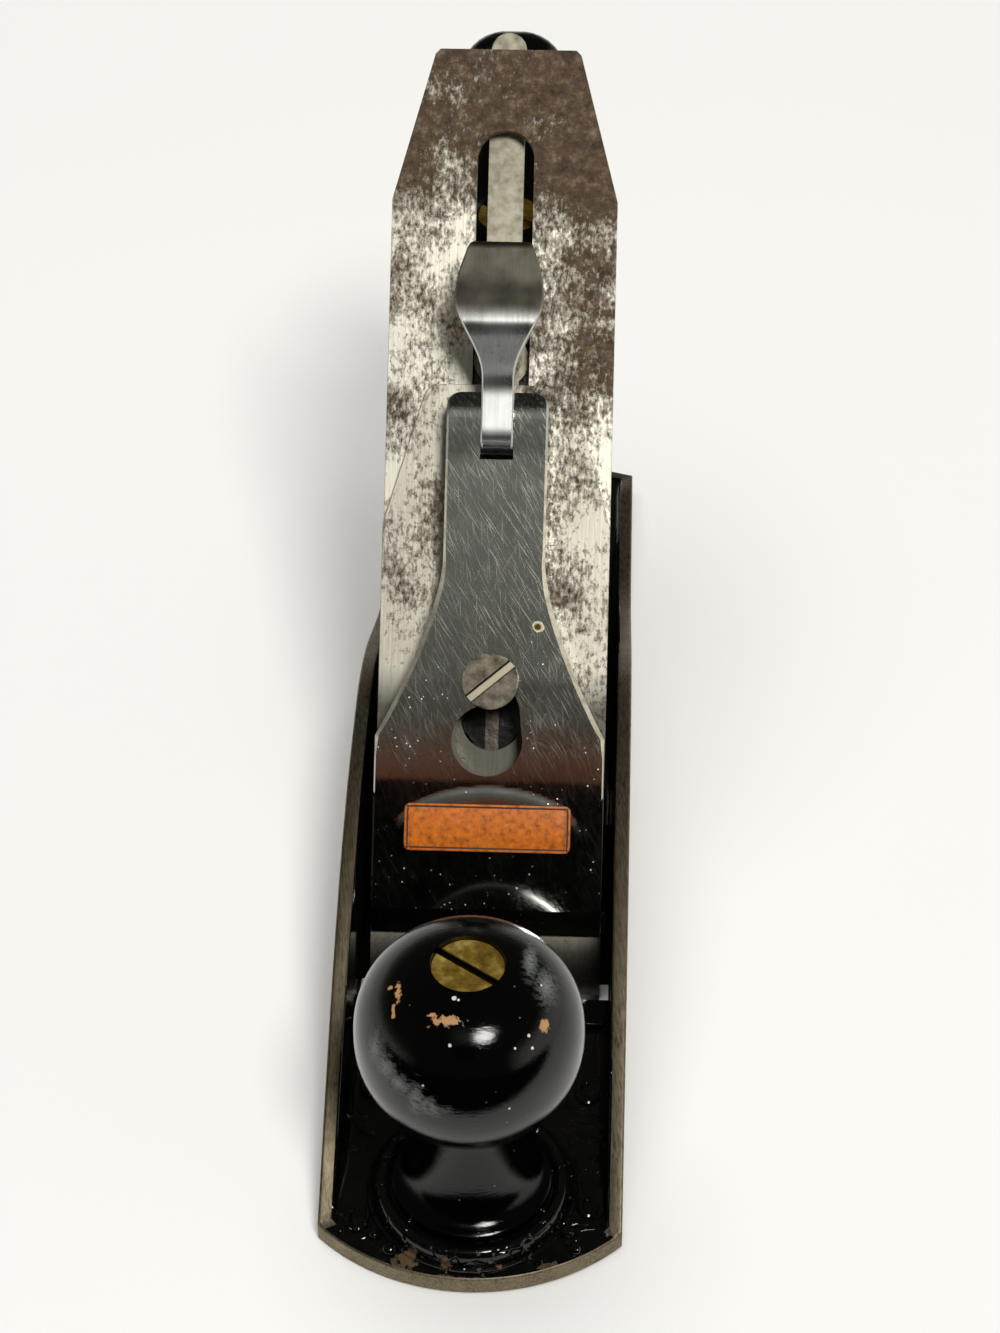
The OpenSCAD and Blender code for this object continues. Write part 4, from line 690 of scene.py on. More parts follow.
# The same black lacquer, worn through to pale wood at the horn where the palm slides off.
worn_lacquer, tree, surface, place = start_material("worn_black_lacquer", roughness=0.15)
feed(surface, {"IOR": 1.38})
ragged = add(tree, "TexNoise", {"Vector": place, "Scale": per(3.2), "Detail": 7.0, "Roughness": 0.65})
grain = add(tree, "Mapping", {"Vector": place, "Scale": (3.0, 0.25, 3.0)})
fibres = add(tree, "TexNoise", {"Vector": grain, "Scale": per(2), "Detail": 6.0})
chipped = patches(tree, place, ragged, TOTE_CHIPS, 0.1)
scuff = add(tree, "MapRange", {"Value": ragged, "From Min": 0.6, "From Max": 0.72, "To Max": 0.16})
wood = add(tree, "Mix", {0: fibres, 6: "#7d5530", 7: "#c79a68"}, data_type="RGBA")
tone = add(tree, "Mix", {0: scuff, 6: "#050505", 7: "#5c5a55"}, data_type="RGBA")
tone = add(tree, "Mix", {0: chipped, 6: tone, 7: wood}, data_type="RGBA")
rough = add(tree, "MapRange", {"Value": chipped, "To Min": 0.15, "To Max": 0.6})
sunk = add(tree, "Math", {0: fibres, 1: chipped}, operation="SUBTRACT")
bump = add(tree, "Bump", {"Height": sunk, "Strength": 0.15, "Distance": 0.2 * MM})
feed(surface, {"Base Color": tone, "Roughness": rough, "Normal": bump})

handle = make_mesh("horned_handle", points, faces, [worn_lacquer], angle=50)
nut_hole = turned("nut_hole", [(NUT_HEAD_R + 0.1, -NUT_HEAD_T), (NUT_HEAD_R + 0.1, 8)], (0, 0, 0),
                  [worn_lacquer])
nut_hole.matrix_world = (Matrix.Translation(rod_foot * MM) @ lean.to_4x4()
                         @ Matrix.Translation((0, 0, rod_top * MM)))
combine(handle, [nut_hole], "DIFFERENCE")
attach(handle, "body")
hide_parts("tote")


# Frog: the sloping iron casting that beds the blade, bolted through its pockets to the seat.
# It is japanned like the body, with a ground strip down its bed under the cap iron's slot.
BED_LIFT = 45
FROG_STRIP_HALF, FROG_BED_N = 1.3, -2.3


def bed_place(tree, place, up_mm=0):
    """A place in metres across the bed, up it and above it, from up_mm above the cutting edge."""
    rise = up_mm * math.sin(math.radians(BED_LIFT))
    start = [c * MM for c in (0, edge_y + rise, edge_z + rise)]
    turned_in = add(tree, "Mapping", {"Vector": place, "Location": start,
                                      "Rotation": (math.radians(BED_LIFT), 0, 0)}, vector_type="TEXTURE")
    return turned_in, add(tree, "SeparateXYZ", {"Vector": turned_in}).node.outputs


frog_finish, tree, surface, place = start_material("japanned_frog", roughness=0.2)
bed, parts = bed_place(tree, place)
lumps = add(tree, "TexNoise", {"Vector": place, "Scale": per(2.5), "Detail": 4.0})
across = add(tree, "Math", {0: parts["X"]}, operation="ABSOLUTE")
strip = add(tree, "Math", {0: across, 1: FROG_STRIP_HALF * MM}, operation="LESS_THAN")
face_up = add(tree, "Math", {0: parts["Z"], 1: FROG_BED_N * MM}, operation="GREATER_THAN")
bright = add(tree, "Math", {0: strip, 1: face_up}, operation="MULTIPLY")
tone = add(tree, "Mix", {0: lumps, 6: "#050505", 7: "#100f0e"}, data_type="RGBA")
tone = add(tree, "Mix", {0: bright, 6: tone, 7: "#8a857a"}, data_type="RGBA")
bump = add(tree, "Bump", {"Height": lumps, "Strength": 0.4, "Distance": 0.25 * MM})
feed(surface, {"Base Color": tone, "Metallic": bright, "Normal": bump})
dress("frog", frog_finish, 0.5, 3)


# Yoke lever: a malleable iron casting, oil-blackened, that hangs on a pin through the frog. Its
# fork stands in the wheel's groove and its tip in the cap iron's slot.
blacked, *rest = mottled("oil_blacked_iron", 1.6, 6, 0.5, [(0.35, "#1a1815"), (0.7, "#4d473d")],
                         bump=(0.5, 0.2), roughness=0.45, metallic=0.8)
dress("yoke_lever", blacked, 0.5, 3)


# Depth screw and wheel: a steel stud with a left-hand thread of 24 turns to the inch, and the
# knurled brass wheel that a finger rolls along it, turned from bar and rolled under a knurl.
YOKE_S, YOKE_N, YOKE_REACH = 78, 12, 17
STUD_START, STUD_END, STUD_R, THREAD_PITCH, THREAD_DEEP = 50.05, 86.05, 3.15, 25.4 / 24, 0.42
STUD_STEPS, STUD_RINGS_A_TURN = 28, 6
GROOVE_W, COLLAR_T, COLLAR_R, HUB_R, WHEEL_R, WHEEL_T, WHEEL_BOSS_R = 4.4, 1.6, 7.5, 4.7, 13, 9, 6
KNURL_TEETH, KNURL_ROWS, KNURL_DEEP = 56, 12, 0.42
root_half = math.sqrt(0.5)
stud_z = edge_z + (YOKE_S - YOKE_N) * root_half - YOKE_REACH
wheel_y = edge_y + (YOKE_S + YOKE_N) * root_half

rings = []
turns = (STUD_END - STUD_START) / THREAD_PITCH
for t in spread(0, turns, int(turns * STUD_RINGS_A_TURN)):
    ring = []
    for k in range(STUD_STEPS):
        a = 2 * math.pi * k / STUD_STEPS
        deep = THREAD_DEEP * abs(2 * ((t + k / STUD_STEPS) % 1) - 1)
        easing = min(1, (turns - t) / 1.2)
        r = STUD_R - deep - (1 - easing) * 0.5
        ring.append((r * math.cos(a), edge_y + STUD_START + t * THREAD_PITCH, stud_z + r * math.sin(a)))
    rings.append(ring)
stud = lofted("threaded_stud", rings, [dull_steel], angle=80)
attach(stud, "stud_body")
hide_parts("adjuster_stud")

front = -GROOVE_W / 2 - COLLAR_T
rim_start = GROOVE_W / 2 + COLLAR_T
rim_end = rim_start + WHEEL_T
profile = [(3.3, front), (COLLAR_R - 0.3, front), (COLLAR_R, front + 0.3),
           (COLLAR_R, front + COLLAR_T - 0.3), (COLLAR_R - 0.3, front + COLLAR_T),
           (HUB_R, front + COLLAR_T), (HUB_R, GROOVE_W / 2), (COLLAR_R - 0.3, GROOVE_W / 2),
           (COLLAR_R, GROOVE_W / 2 + 0.3), (COLLAR_R, rim_start - 0.1), (WHEEL_R - 0.9, rim_start),
           (WHEEL_R - 0.25, rim_start + 0.35), (WHEEL_R - 0.15, rim_start + 0.7)]
knurl_from = len(profile)
profile += [(WHEEL_R, z) for z in spread(rim_start + 0.9, rim_end - 0.9, KNURL_ROWS)]
knurl_to = len(profile)
profile += [(WHEEL_R - 0.15, rim_end - 0.7), (WHEEL_R - 0.25, rim_end - 0.35), (WHEEL_R - 0.9, rim_end),
            (WHEEL_R - 2.0, rim_end), (WHEEL_R - 2.3, rim_end - 0.3), (WHEEL_R - 2.5, rim_end - 1.1),
            (WHEEL_BOSS_R + 0.5, rim_end - 1.2), (WHEEL_BOSS_R + 0.1, rim_end - 0.9),
            (WHEEL_BOSS_R - 0.1, rim_end - 0.2), (WHEEL_BOSS_R - 0.5, rim_end), (3.3, rim_end)]
rings = []
for row, (radius, rise) in enumerate(profile):
    ring = []
    for k in range(2 * KNURL_TEETH):
        a = math.pi * k / KNURL_TEETH
        cut = KNURL_DEEP if knurl_from <= row < knurl_to and (row + k) % 2 else 0
        ring.append(((radius - cut) * math.cos(a), wheel_y + rise, stud_z - (radius - cut) * math.sin(a)))
    rings.append(ring)
rings.append(rings[0])
wheel = make_mesh("knurled_wheel", [p for ring in rings for p in ring],
                  band_faces(2 * KNURL_TEETH, len(rings)), [brass], angle=30)
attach(wheel, "depth_nut_body")
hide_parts("depth_nut")


# Side lever: a strip of plated steel pivoted on a rivet through the frog, with a disc in the
# iron's slot and a folded thumb piece at its end. The plating has dulled to a pale straw.
pale_plate, *rest = mottled("dulled_pale_plate", 2.2, 7, 0.6, [(0.3, "#76715f"), (0.62, "#a8a290")],
                            bump=(0.25, 0.08), metallic=0.75)
dress("lateral_lever", pale_plate, 0.25)
dress("lateral_disc", dull_steel, 0.15)
dress("lateral_thumb_piece", pale_plate, 0.45, 3)


# Cutting iron and cap iron: laminated tool steel and mild steel plates, ground along their
# length in lines drawn coarser than they are. Rust has eaten them to fine brown pits, thickest
# at the top and down the right.
RUST_TOP_S, RUST_RIGHT_X, RUST_RIGHT_S, SHADED_LESS_RUSTY_S = (150, 161), (-4, 18), (100, 125), (64, 56)


def iron_material(name, steel_dark, steel_light, cover):
    """Ground steel with rust: cover lifts the share that is brown."""
    made, tree, surface, place = start_material(name, roughness=0.55, metallic=1.0)
    bed, parts = bed_place(tree, place)
    long_way = add(tree, "Mapping", {"Vector": bed, "Scale": (1.0, 0.55, 1.0)})
    pits = add(tree, "TexNoise", {"Vector": long_way, "Scale": per(0.95), "Detail": 7.0,
                                  "Roughness": 0.75})
    clouds = add(tree, "TexNoise", {"Vector": bed, "Scale": per(14), "Detail": 5.0, "Roughness": 0.6})
    at_top = add(tree, "MapRange", {"Value": parts["Y"], "From Min": RUST_TOP_S[0] * MM,
                                    "From Max": RUST_TOP_S[1] * MM, "To Max": 0.2})
    rightward = add(tree, "MapRange", {"Value": parts["X"], "From Min": RUST_RIGHT_X[0] * MM,
                                       "From Max": RUST_RIGHT_X[1] * MM, "To Max": 0.15})
    upper = add(tree, "MapRange", {"Value": parts["Y"], "From Min": RUST_RIGHT_S[0] * MM,
                                   "From Max": RUST_RIGHT_S[1] * MM})
    at_right = add(tree, "Math", {0: rightward, 1: upper}, operation="MULTIPLY")
    grit = add(tree, "TexNoise", {"Vector": bed, "Scale": per(2.6), "Detail": 9.0, "Roughness": 0.82})
    # Low on the irons, under the lever cap and near the mouth: less rust, and painted shade
    shade_and_less_rust = add(tree, "MapRange", {"Value": parts["Y"], "From Min": SHADED_LESS_RUSTY_S[0] * MM,
                                   "From Max": SHADED_LESS_RUSTY_S[1] * MM})
    low = add(tree, "Math", {0: shade_and_less_rust, 1: -0.14}, operation="MULTIPLY")
    total = add(tree, "Math", {0: clouds, 1: 0.85, 2: pits}, operation="MULTIPLY_ADD")
    for part in (at_top, at_right, low):
        total = add(tree, "Math", {0: total, 1: part}, operation="ADD")
    total = add(tree, "Math", {0: total, 1: cover}, operation="ADD")
    rust = add(tree, "MapRange", {"Value": total, "From Min": 0.86, "From Max": 1.06})
    lines = add(tree, "Mapping", {"Vector": bed, "Scale": (8.0, 0.3, 8.0)})
    ground = add(tree, "TexNoise", {"Vector": lines, "Scale": per(3), "Detail": 5.0})
    steel = add(tree, "Mix", {0: ground, 6: steel_dark, 7: steel_light}, data_type="RGBA")
    brown = add(tree, "ValToRGB", {"Fac": grit}, stops=[(0.34, "#2a1e15"), (0.68, "#8f8069"),
                                                        (0.52, "#594735")])
    tone = add(tree, "Mix", {0: rust, 6: steel, 7: brown}, data_type="RGBA")
    # Painted shade: the steel low down is darkened where the lever cap and knob shade it
    painted_shade = add(tree, "Mix", {0: shade_and_less_rust, 6: "#ffffff", 7: "#7c7c7a"}, data_type="RGBA")
    tone = add(tree, "Mix", {0: 1.0, 6: tone, 7: painted_shade}, data_type="RGBA", blend_type="MULTIPLY")
    metal = add(tree, "MapRange", {"Value": rust, "To Min": 0.95, "To Max": 0.25})
    rough = add(tree, "MapRange", {"Value": rust, "To Min": 0.46, "To Max": 0.75})
    deep = add(tree, "Math", {0: ground, 1: 0.25, 2: rust}, operation="MULTIPLY_ADD")
    bump = add(tree, "Bump", {"Height": deep, "Strength": 0.35, "Distance": 0.1 * MM}, invert=True)
    feed(surface, {"Base Color": tone, "Metallic": metal, "Roughness": rough, "Normal": bump})
    return made


tool_steel = iron_material("rust_pitted_tool_steel", "#aca797", "#f4f1e2", -0.02)
cap_steel = iron_material("rust_pitted_cap_steel", "#9d988a", "#d8d4c4", -0.03)
dress("cutter", tool_steel, 0.12)
dress("cap_iron", cap_steel, 0.2)


# Lever cap: a nickel-plated iron casting that slides under its screw and clamps the irons. It
# is ground flat, swells a little under its enamelled panel, and is bevelled along its sides.
CAP_HALF, NECK_HALF, CAP_FRONT_S, CAP_TOP_S = 22, 9.8, 12.4, 116.6
SHOULDER_S, NECK_S, FLARE_POWER = 50, 84, 1.5
CAP_FACE = ((12.4, 5.45), (17.0, 9.0), (41.4, 9.5), (60.6, 9.8), (104.0, 9.8), (112.6, 10.1), (116.6, 9.3))
CAP_BEVEL = ((12.4, 0.15), (17, 0.25), (46, 0.3), (52, 0.95), (78, 0.95), (86, 0.45), (116.6, 0.4))
CAP_UNDER_N, CAP_FRONT_N, CAP_LIP_S, CAP_CORNER = 4.6, 4.45, 17, 2.5
SWELL_S, SWELL_HALF_X, SWELL_UPPER_S, SWELL_HIGH = 30.9, 17.8, 9.2, 0.18
KIDNEY_LOBE, KIDNEY_LOBE_R, KIDNEY_BEND, KIDNEY_NECK_R = (-0.5, 49.3), 6.8, (1.6, 54.95), 4.1
CAP_HOLE_S, STEM_SLOT_HALF, STEM_SLOT_S = 60.6, 3.2, 103.5
SPECKED_S, SHELTERED_S = (85, 58), (49, 41)


def on_bed(x, s, n):
    """A place in the plane's frame, from x across the iron, s up it and n above it."""
    return (x, edge_y + (s - n) * root_half, edge_z + (s + n) * root_half)


def between(table, s):
    """Value at s of a line through the table's points."""
    for (s0, v0), (s1, v1) in zip(table, table[1:]):
        if s <= s1:
            return v0 + (v1 - v0) * (s - s0) / (s1 - s0)
    return table[-1][1]


def cap_half(s):
    """Half width of the lever cap at s."""
    if s > CAP_TOP_S - CAP_CORNER:
        over = min((s - CAP_TOP_S + CAP_CORNER) / CAP_CORNER, 1)
        return NECK_HALF - CAP_CORNER * (1 - math.sqrt(1 - over * over))
    if s <= SHOULDER_S or s >= NECK_S:
        return CAP_HALF if s <= SHOULDER_S else NECK_HALF
    return NECK_HALF + (CAP_HALF - NECK_HALF) * ((NECK_S - s) / (NECK_S - SHOULDER_S)) ** FLARE_POWER


def cap_face(x, s):
    """Height of the lever cap's face above the iron, with the swell that fades out downwards."""
    far = math.hypot(x / SWELL_HALF_X, max(s - SWELL_S, 0) / SWELL_UPPER_S)
    soft = 0.42 + 1.6 * min(max((SWELL_S + 2 - s) / 6, 0), 1)
    fading = min(max((s - CAP_LIP_S) / (SWELL_S - CAP_LIP_S), 0), 1)
    swell = SWELL_HIGH * fading * (1 - far ** 2) ** soft if far < 1 else 0
    return between(CAP_FACE, s) + swell


# Nickel plate: cold grey and nearly a mirror, with white specks and one rusted pit. Its hairline
# scratches are drawn wider than they are so that they show, and are faint below the hand's reach.
nickel, tree, surface, place = start_material("scratched_nickel_plate", roughness=0.09, metallic=1.0)
bed, parts = bed_place(tree, place)
hair = None
for turn, fine, share in ((0.5, 0.17, 0.29), (0.34, 0.15, 0.26), (0.62, 0.19, 0.29), (0.06, 0.16, 0.24),
                          (-0.5, 0.18, 0.17), (1.1, 0.17, 0.15)):
    turned_way = add(tree, "Mapping", {"Vector": bed, "Rotation": (0, 0, turn), "Scale": (1.0, 45.0, 1.0)},
                     vector_type="TEXTURE")
    wisps = add(tree, "TexNoise", {"Vector": turned_way, "Scale": per(fine), "Detail": 1.0})
    scratch = add(tree, "MapRange", {"Value": wisps, "From Min": 0.6, "From Max": 0.74, "To Max": share})
    hair = scratch if hair is None else add(tree, "Math", {0: hair, 1: scratch}, operation="MAXIMUM")
fog = add(tree, "TexNoise", {"Vector": bed, "Scale": per(9), "Detail": 6.0, "Roughness": 0.65})
cells = add(tree, "TexVoronoi", {"Vector": bed, "Scale": per(1.3)})
speck = add(tree, "MapRange", {"Value": cells, "From Min": 0.15, "From Max": 0.08})
some = add(tree, "MapRange", {"Value": fog, "From Min": 0.42, "From Max": 0.62, "To Max": 0.8})
lower = add(tree, "MapRange", {"Value": parts["Y"], "From Min": SPECKED_S[0] * MM,
                               "From Max": SPECKED_S[1] * MM, "To Min": 0.15})
some = add(tree, "Math", {0: some, 1: lower}, operation="MULTIPLY")
speck = add(tree, "Math", {0: speck, 1: some}, operation="MULTIPLY")
sheltered = add(tree, "MapRange", {"Value": parts["Y"], "From Min": SHELTERED_S[0] * MM,
                                   "From Max": SHELTERED_S[1] * MM, "To Min": 1.0, "To Max": 0.3})
hair = add(tree, "Math", {0: hair, 1: sheltered}, operation="MULTIPLY")
marks = add(tree, "Math", {0: hair, 1: speck}, operation="MAXIMUM")
pit = patches(tree, bed, fog, [((8.8, 71.5, 9.8), (1.05, 0.95, 2), 0.6)], 0.25)
core = patches(tree, bed, fog, [((8.7, 71.4, 9.8), (0.65, 0.6, 2), 0.5)], 0.3)
tone = add(tree, "Mix", {0: fog, 6: "#9c9c94", 7: "#c9cac3"}, data_type="RGBA")
tone = add(tree, "Mix", {0: marks, 6: tone, 7: "#eeede6"}, data_type="RGBA")
tone = add(tree, "Mix", {0: pit, 6: tone, 7: "#b3ab8c"}, data_type="RGBA")
tone = add(tree, "Mix", {0: core, 6: tone, 7: "#4a3a1e"}, data_type="RGBA")
rough = add(tree, "MapRange", {"Value": fog, "From Min": 0.3, "From Max": 0.7, "To Min": 0.04,
                               "To Max": 0.08})
rough = add(tree, "Math", {0: marks, 1: 0.5, 2: rough}, operation="MULTIPLY_ADD")
rough = add(tree, "Math", {0: pit, 1: 0.4, 2: rough}, operation="MULTIPLY_ADD")
bump = add(tree, "Bump", {"Height": marks, "Strength": 0.06, "Distance": 0.05 * MM})
feed(surface, {"Base Color": tone, "Roughness": rough, "Normal": bump})

# Pale cream plate along the flared bevels: a painted highlight, given as plating worn to bare metal and made
# rough so that it catches the lamp.
worn_bevel_highlight, *rest = mottled("worn_plate_edge_painted_highlight", 2.5, 6, 0.65, [(0.3, "#b5a98c"), (0.6, "#f3eedb")],
                           roughness=0.3, metallic=1)

places = spread(CAP_FRONT_S, CAP_LIP_S, 4) + spread(CAP_LIP_S, SHOULDER_S, 66)[1:]
places += spread(SHOULDER_S, NECK_S, 48)[1:] + spread(NECK_S, STEM_SLOT_S, 12)[1:]
places += spread(STEM_SLOT_S, CAP_TOP_S - CAP_CORNER, 8)[1:]
places += [CAP_TOP_S - CAP_CORNER * (1 - math.sin(a)) for a in spread(0, math.pi / 2, 8)][1:]
rings = []
for s in places:
    half = cap_half(s)
    risen = min((s - CAP_FRONT_S) / (CAP_LIP_S - CAP_FRONT_S), 1)
    under = CAP_FRONT_N + (CAP_UNDER_N - CAP_FRONT_N) * risen
    slope = between(CAP_BEVEL, s)
    top = cap_face(half, s)
    line = [(-half, under), (-half, top - 0.9 * slope)]
    line += [(x, cap_face(x, s)) for x in spread(-half + slope, half - slope, 60)]
    line += [(half, top - 0.9 * slope), (half, under)]
    rings.append([on_bed(x, s, n) for x, n in line])
lever_cap = lofted("plated_lever_cap", rings, [nickel, worn_bevel_highlight], angle=24)
for face in lever_cap.data.polygons:
    s = ((face.center.y / MM - edge_y) + (face.center.z / MM - edge_z)) * root_half
    upward = (face.normal.z - face.normal.y) * root_half
    # The flared bevels take the pale cream plate, a painted highlight
    if SHOULDER_S - 2 < s < NECK_S + 20 and 0.3 < upward < 0.93:
        face.material_index = 1


def bed_cutter(name, shapes, low, high):
    """Upright cutters on the bed: each shape is a closed outline of (x, s)."""
    return [lofted(f"{name}_{i}", [[on_bed(x, s, n) for x, s in shape] for n in (low, high)], [nickel])
            for i, shape in enumerate(shapes)]


def circle(cx, cy, radius, steps=72):
    """Points round a circle."""
    return [(cx + radius * math.cos(a), cy + radius * math.sin(a))
            for a in spread(0, 2 * math.pi, steps)[:-1]]


lobe = circle(*KIDNEY_LOBE, KIDNEY_LOBE_R)
bend = circle(*KIDNEY_BEND, KIDNEY_NECK_R)
neck = circle(0, CAP_HOLE_S, KIDNEY_NECK_R)
stem_slot = [(-STEM_SLOT_HALF, STEM_SLOT_S), (STEM_SLOT_HALF, STEM_SLOT_S), (STEM_SLOT_HALF, 125),
             (-STEM_SLOT_HALF, 125)]
neck_side = [(-4.1, CAP_HOLE_S), (4.1, CAP_HOLE_S), (5.7, 54.95), (6.3, 49.3), (-0.5, 49.3), (-2.5, 54.95)]
combine(lever_cap, bed_cutter("hole", [lobe, bend, neck, neck_side, stem_slot], 2, 14), "DIFFERENCE")
rounding = lever_cap.modifiers.new("eased_edges", "BEVEL")
rounding.width = 0.18 * MM
rounding.segments = 2
rounding.limit_method = "ANGLE"
rounding.angle_limit = math.radians(50)
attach(lever_cap, "lever_cap_body")
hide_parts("lever_cap")


# Lever cap screw: a slotted steel screw through the cap and irons into the frog. Its head is
# worn to a warm grey, with painted light on its slot's floor and painted shade along the slot's sides.
SCREW_SLOT_N, SCREW_SLOT_HALF, SCREW_SLOT_TURN = 11.3, 0.95, 40
worn_screw, tree, surface, place = start_material("worn_screw_steel", roughness=0.42, metallic=1.0)
bed, *rest = bed_place(tree, place, CAP_HOLE_S)
slot_way = add(tree, "Mapping", {"Vector": bed, "Rotation": (0, 0, math.radians(SCREW_SLOT_TURN))},
               vector_type="TEXTURE")
parts = add(tree, "SeparateXYZ", {"Vector": slot_way}).node.outputs
age = add(tree, "TexNoise", {"Vector": place, "Scale": per(2.2), "Detail": 8.0, "Roughness": 0.65})
tones = add(tree, "ValToRGB", {"Fac": age}, stops=[(0.3, "#38342c"), (0.68, "#7a7466")])
# Painted light and shade in the slot: a pale floor, dark along both sides
sunk = add(tree, "Math", {0: parts["Z"], 1: SCREW_SLOT_N * MM}, operation="LESS_THAN")
off = add(tree, "Math", {0: parts["Y"]}, operation="ABSOLUTE")
slot_side_shade = add(tree, "MapRange", {"Value": off, "From Min": (SCREW_SLOT_HALF - 0.45) * MM,
                                   "From Max": (SCREW_SLOT_HALF - 0.2) * MM})
slot_light_and_shade = add(tree, "Mix", {0: slot_side_shade, 6: "#a59d87", 7: "#15100a"}, data_type="RGBA")
tone = add(tree, "Mix", {0: sunk, 6: tones, 7: slot_light_and_shade}, data_type="RGBA")
bump = add(tree, "Bump", {"Height": age, "Strength": 0.3, "Distance": 0.08 * MM})
feed(surface, {"Base Color": tone, "Normal": bump})
dress("lever_cap_screw", worn_screw, 0.3)


# Enamelled panel: orange enamel fired on the lever cap's swell, with a thin dark border.
# The panel is left plain.
PANEL_HALF, PANEL_S, PANEL_HALF_S, PANEL_CORNER, PANEL_PROUD = 16, 32.6, 4.6, 1.5, 0.12
enamel, tree, surface, *rest = mottled(
    "orange_enamel", 1.3, 6, 0.6, [(0.3, "#7a3d08"), (0.7, "#d9771c"), (0.48, "#bd6210")],
    bump=(0.3, 0.08), roughness=0.42)
feed(surface, {"IOR": 1.35})
border, tree, surface, place = start_material("dark_panel_border", roughness=0.5)
mottle = add(tree, "TexNoise", {"Vector": place, "Scale": per(0.9), "Detail": 4.0})
tone = add(tree, "Mix", {0: mottle, 6: "#0d0906", 7: "#3a2412"}, data_type="RGBA")
feed(surface, {"Base Color": tone})
plate = oblong(-PANEL_HALF, PANEL_HALF, PANEL_S - PANEL_HALF_S, PANEL_S + PANEL_HALF_S, PANEL_CORNER)
stations = spread(PANEL_HALF - PANEL_CORNER, PANEL_CORNER - PANEL_HALF, 44)[1:-1]
rings = []
for inset, rise in ((0, -0.3), (0, 0.4), (0.12, 0.9), (0.5, 1.0), (0.65, 0.75), (0.85, 0.75), (1.0, 1.0)):
    corners = plate(inset)
    ring = corners[:9] + [(x, PANEL_S + PANEL_HALF_S - inset) for x in stations] + corners[9:18]
    ring += [(x, 2 * PANEL_S - s) for x, s in reversed(ring)]
    rings.append([on_bed(x, s, cap_face(x, s) + rise * PANEL_PROUD) for x, s in ring])
ring_size = len(rings[0])
last = (len(rings) - 1) * ring_size
faces = band_faces(ring_size, len(rings)) + [tuple(reversed(range(ring_size)))]
faces += [(last + k, last + k + 1, last + ring_size - 2 - k, last + ring_size - 1 - k)
          for k in range(ring_size // 2 - 1)]
panel = make_mesh("enamel_panel", [p for ring in rings for p in ring], faces, [enamel, border], angle=60)
for face in panel.data.polygons:
    middle = face.center / MM
    s = ((middle.y - edge_y) + (middle.z - edge_z)) * root_half
    inward = min(PANEL_HALF - abs(middle.x), PANEL_HALF_S - abs(s - PANEL_S))
    face.material_index = 1 if inward < 0.13 or 0.5 < inward < 0.85 else 0
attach(panel, "lever_cap_body")


# Cam lever: a plated steel forging with an eccentric hub on a pin between the cap's ears. Its
# spoon-shaped end is flipped down to lock the irons, and brushed bright along its length.
CAM_S, CAM_N, CAM_END_S, CAM_STEM_HALF, CAM_THUMB_HALF = 109, 8, 145, 3.1, 8.5
CAM_STEM_END, CAM_WIDE_S, CAM_TIP_S, CAM_BLUNT, CAM_EASE = 119, 134, 144, 2.6, 0.3
CAM_OLIVE_REFLECTION_S = (129.5, 132.5)
CAM_TOP = ((0, 4.3), (0.12, 4.2), (0.21, 4.2), (0.27, 4.75), (0.35, 6.2), (0.44, 7.83), (0.5, 8.9),
           (0.545, 9.42), (0.585, 9.4), (0.63, 9.17), (0.7, 8.63), (0.78, 7.95), (0.89, 7.3), (1, 6.7))
CAM_UNDER = ((0.08, -1.8), (0.14, 0.2), (0.28, 1.6), (0.44, 4.6), (0.54, 6.4), (0.62, 6.7), (0.76, 6.1),
             (0.9, 5.6), (1, 5.2))
CAM_HUB = ((104.8, 7.3, 7.0), (104.95, 8.6, 5.9), (105.35, 10.0, 4.8), (105.9, 11.1, 4.1),
           (106.8, 11.9, 3.5), (108, 12.2, 3.1))


def cam_half(s):
    """Half width of the cam lever at s."""
    if s <= CAM_STEM_END:
        return CAM_STEM_HALF
    if s <= CAM_WIDE_S:
        share = (s - CAM_STEM_END) / (CAM_WIDE_S - CAM_STEM_END)
        return CAM_STEM_HALF + (CAM_THUMB_HALF - CAM_STEM_HALF) * (1 - math.cos(math.pi * share)) / 2
    share = (s - CAM_WIDE_S) / (CAM_END_S - CAM_WIDE_S)
    return CAM_THUMB_HALF - CAM_BLUNT * (1 - math.cos(math.pi / 2 * share))


def cam_line(shape):
    """A smooth line of (s, n) along the lever, from shares of its length and rises over its pin."""
    return [(p.x, p.y) for p in smooth_curve([(CAM_S + share * (CAM_END_S - CAM_S), CAM_N + rise)
                                              for share, rise in shape], 8)]


top_line = [(a, b) for a, b, c in CAM_HUB] + cam_line(CAM_TOP)
under_line = [(a, c) for a, b, c in CAM_HUB] + [(109, 2.9), (110.6, 3.3)] + cam_line(CAM_UNDER)
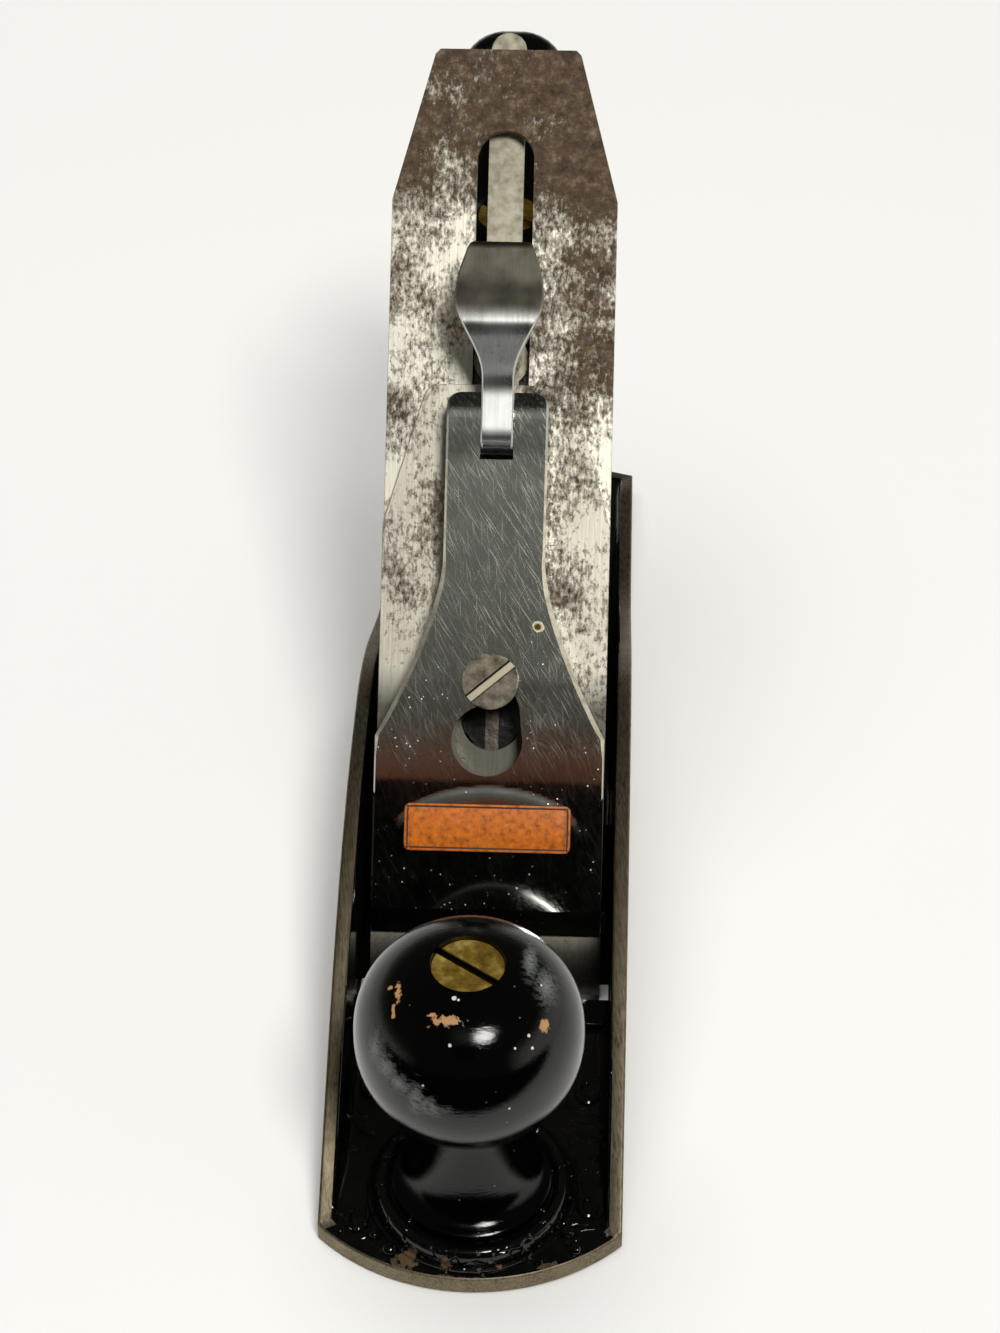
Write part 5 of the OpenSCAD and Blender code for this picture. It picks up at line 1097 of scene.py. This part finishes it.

# Nickel plate brushed along the lever, in lines drawn coarser than they are, cold grey below and
# olive brown above its crest, where the olive is a painted reflection.
brushed, tree, surface, place = start_material("brushed_nickel_plate", roughness=0.26, metallic=1.0)
bed, parts = bed_place(tree, place)
long_way = add(tree, "Mapping", {"Vector": bed, "Scale": (1.0, 0.03, 0.3)})
lines = add(tree, "TexNoise", {"Vector": long_way, "Scale": per(0.45), "Detail": 4.0})
fog = add(tree, "TexNoise", {"Vector": bed, "Scale": per(5), "Detail": 6.0})
tone = add(tree, "Mix", {0: lines, 6: "#a8a9a7", 7: "#d6d7d4"}, data_type="RGBA")
# Painted reflection: olive brown over the lever's end, above its crest
painted_olive_reflection = add(tree, "MapRange", {"Value": parts["Y"], "From Min": CAM_OLIVE_REFLECTION_S[0] * MM,
                                 "From Max": CAM_OLIVE_REFLECTION_S[1] * MM, "To Max": 0.8})
tone = add(tree, "Mix", {0: painted_olive_reflection, 6: tone, 7: "#6f6550"}, data_type="RGBA")
rough = add(tree, "MapRange", {"Value": fog, "From Min": 0.3, "From Max": 0.7, "To Min": 0.25,
                               "To Max": 0.33})
bump = add(tree, "Bump", {"Height": lines, "Strength": 0.12, "Distance": 0.04 * MM})
feed(surface, {"Base Color": tone, "Roughness": rough, "Normal": bump})

stations = [hub[0] for hub in CAM_HUB] + spread(CAM_S, CAM_STEM_END - 1, 12)
stations += spread(CAM_STEM_END, CAM_TIP_S, 50) + [CAM_TIP_S + 0.6, CAM_TIP_S + 0.9, CAM_END_S]
rings = []
for s in stations:
    half = cam_half(s)
    high, low = between(top_line, s), between(under_line, s)
    if s > CAM_TIP_S:
        drop = 0.5 * (1 - math.sqrt(1 - (s - CAM_TIP_S) ** 2))
        high, low, half = high - drop, low + drop, half - drop
    soft = CAM_EASE
    line = [(-half + soft, low), (-half, low + soft), (-half, high - soft), (-half + soft, high)]
    line += [(x, high) for x in spread(-half + soft, half - soft, 16)[1:-1]]
    line += [(half - soft, high), (half, high - soft), (half, low + soft), (half - soft, low)]
    rings.append([on_bed(x, s, n) for x, n in line])
cam = lofted("plated_cam_lever", rings, [brushed], angle=30)
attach(cam, "cam_lever_body")
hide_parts("cam_lever")


# Flat spring: a strip of blued spring steel riveted under the lever cap, for the cam to press.
blued, tree, surface, place = start_material("blued_spring_steel", roughness=0.32, metallic=1.0)
age = add(tree, "TexNoise", {"Vector": place, "Scale": per(3), "Detail": 6.0})
tone = add(tree, "Mix", {0: age, 6: "#2a2e38", 7: "#6e6a5e"}, data_type="RGBA")
feed(surface, {"Base Color": tone})
dress("lever_cap_spring", blued, 0.1)
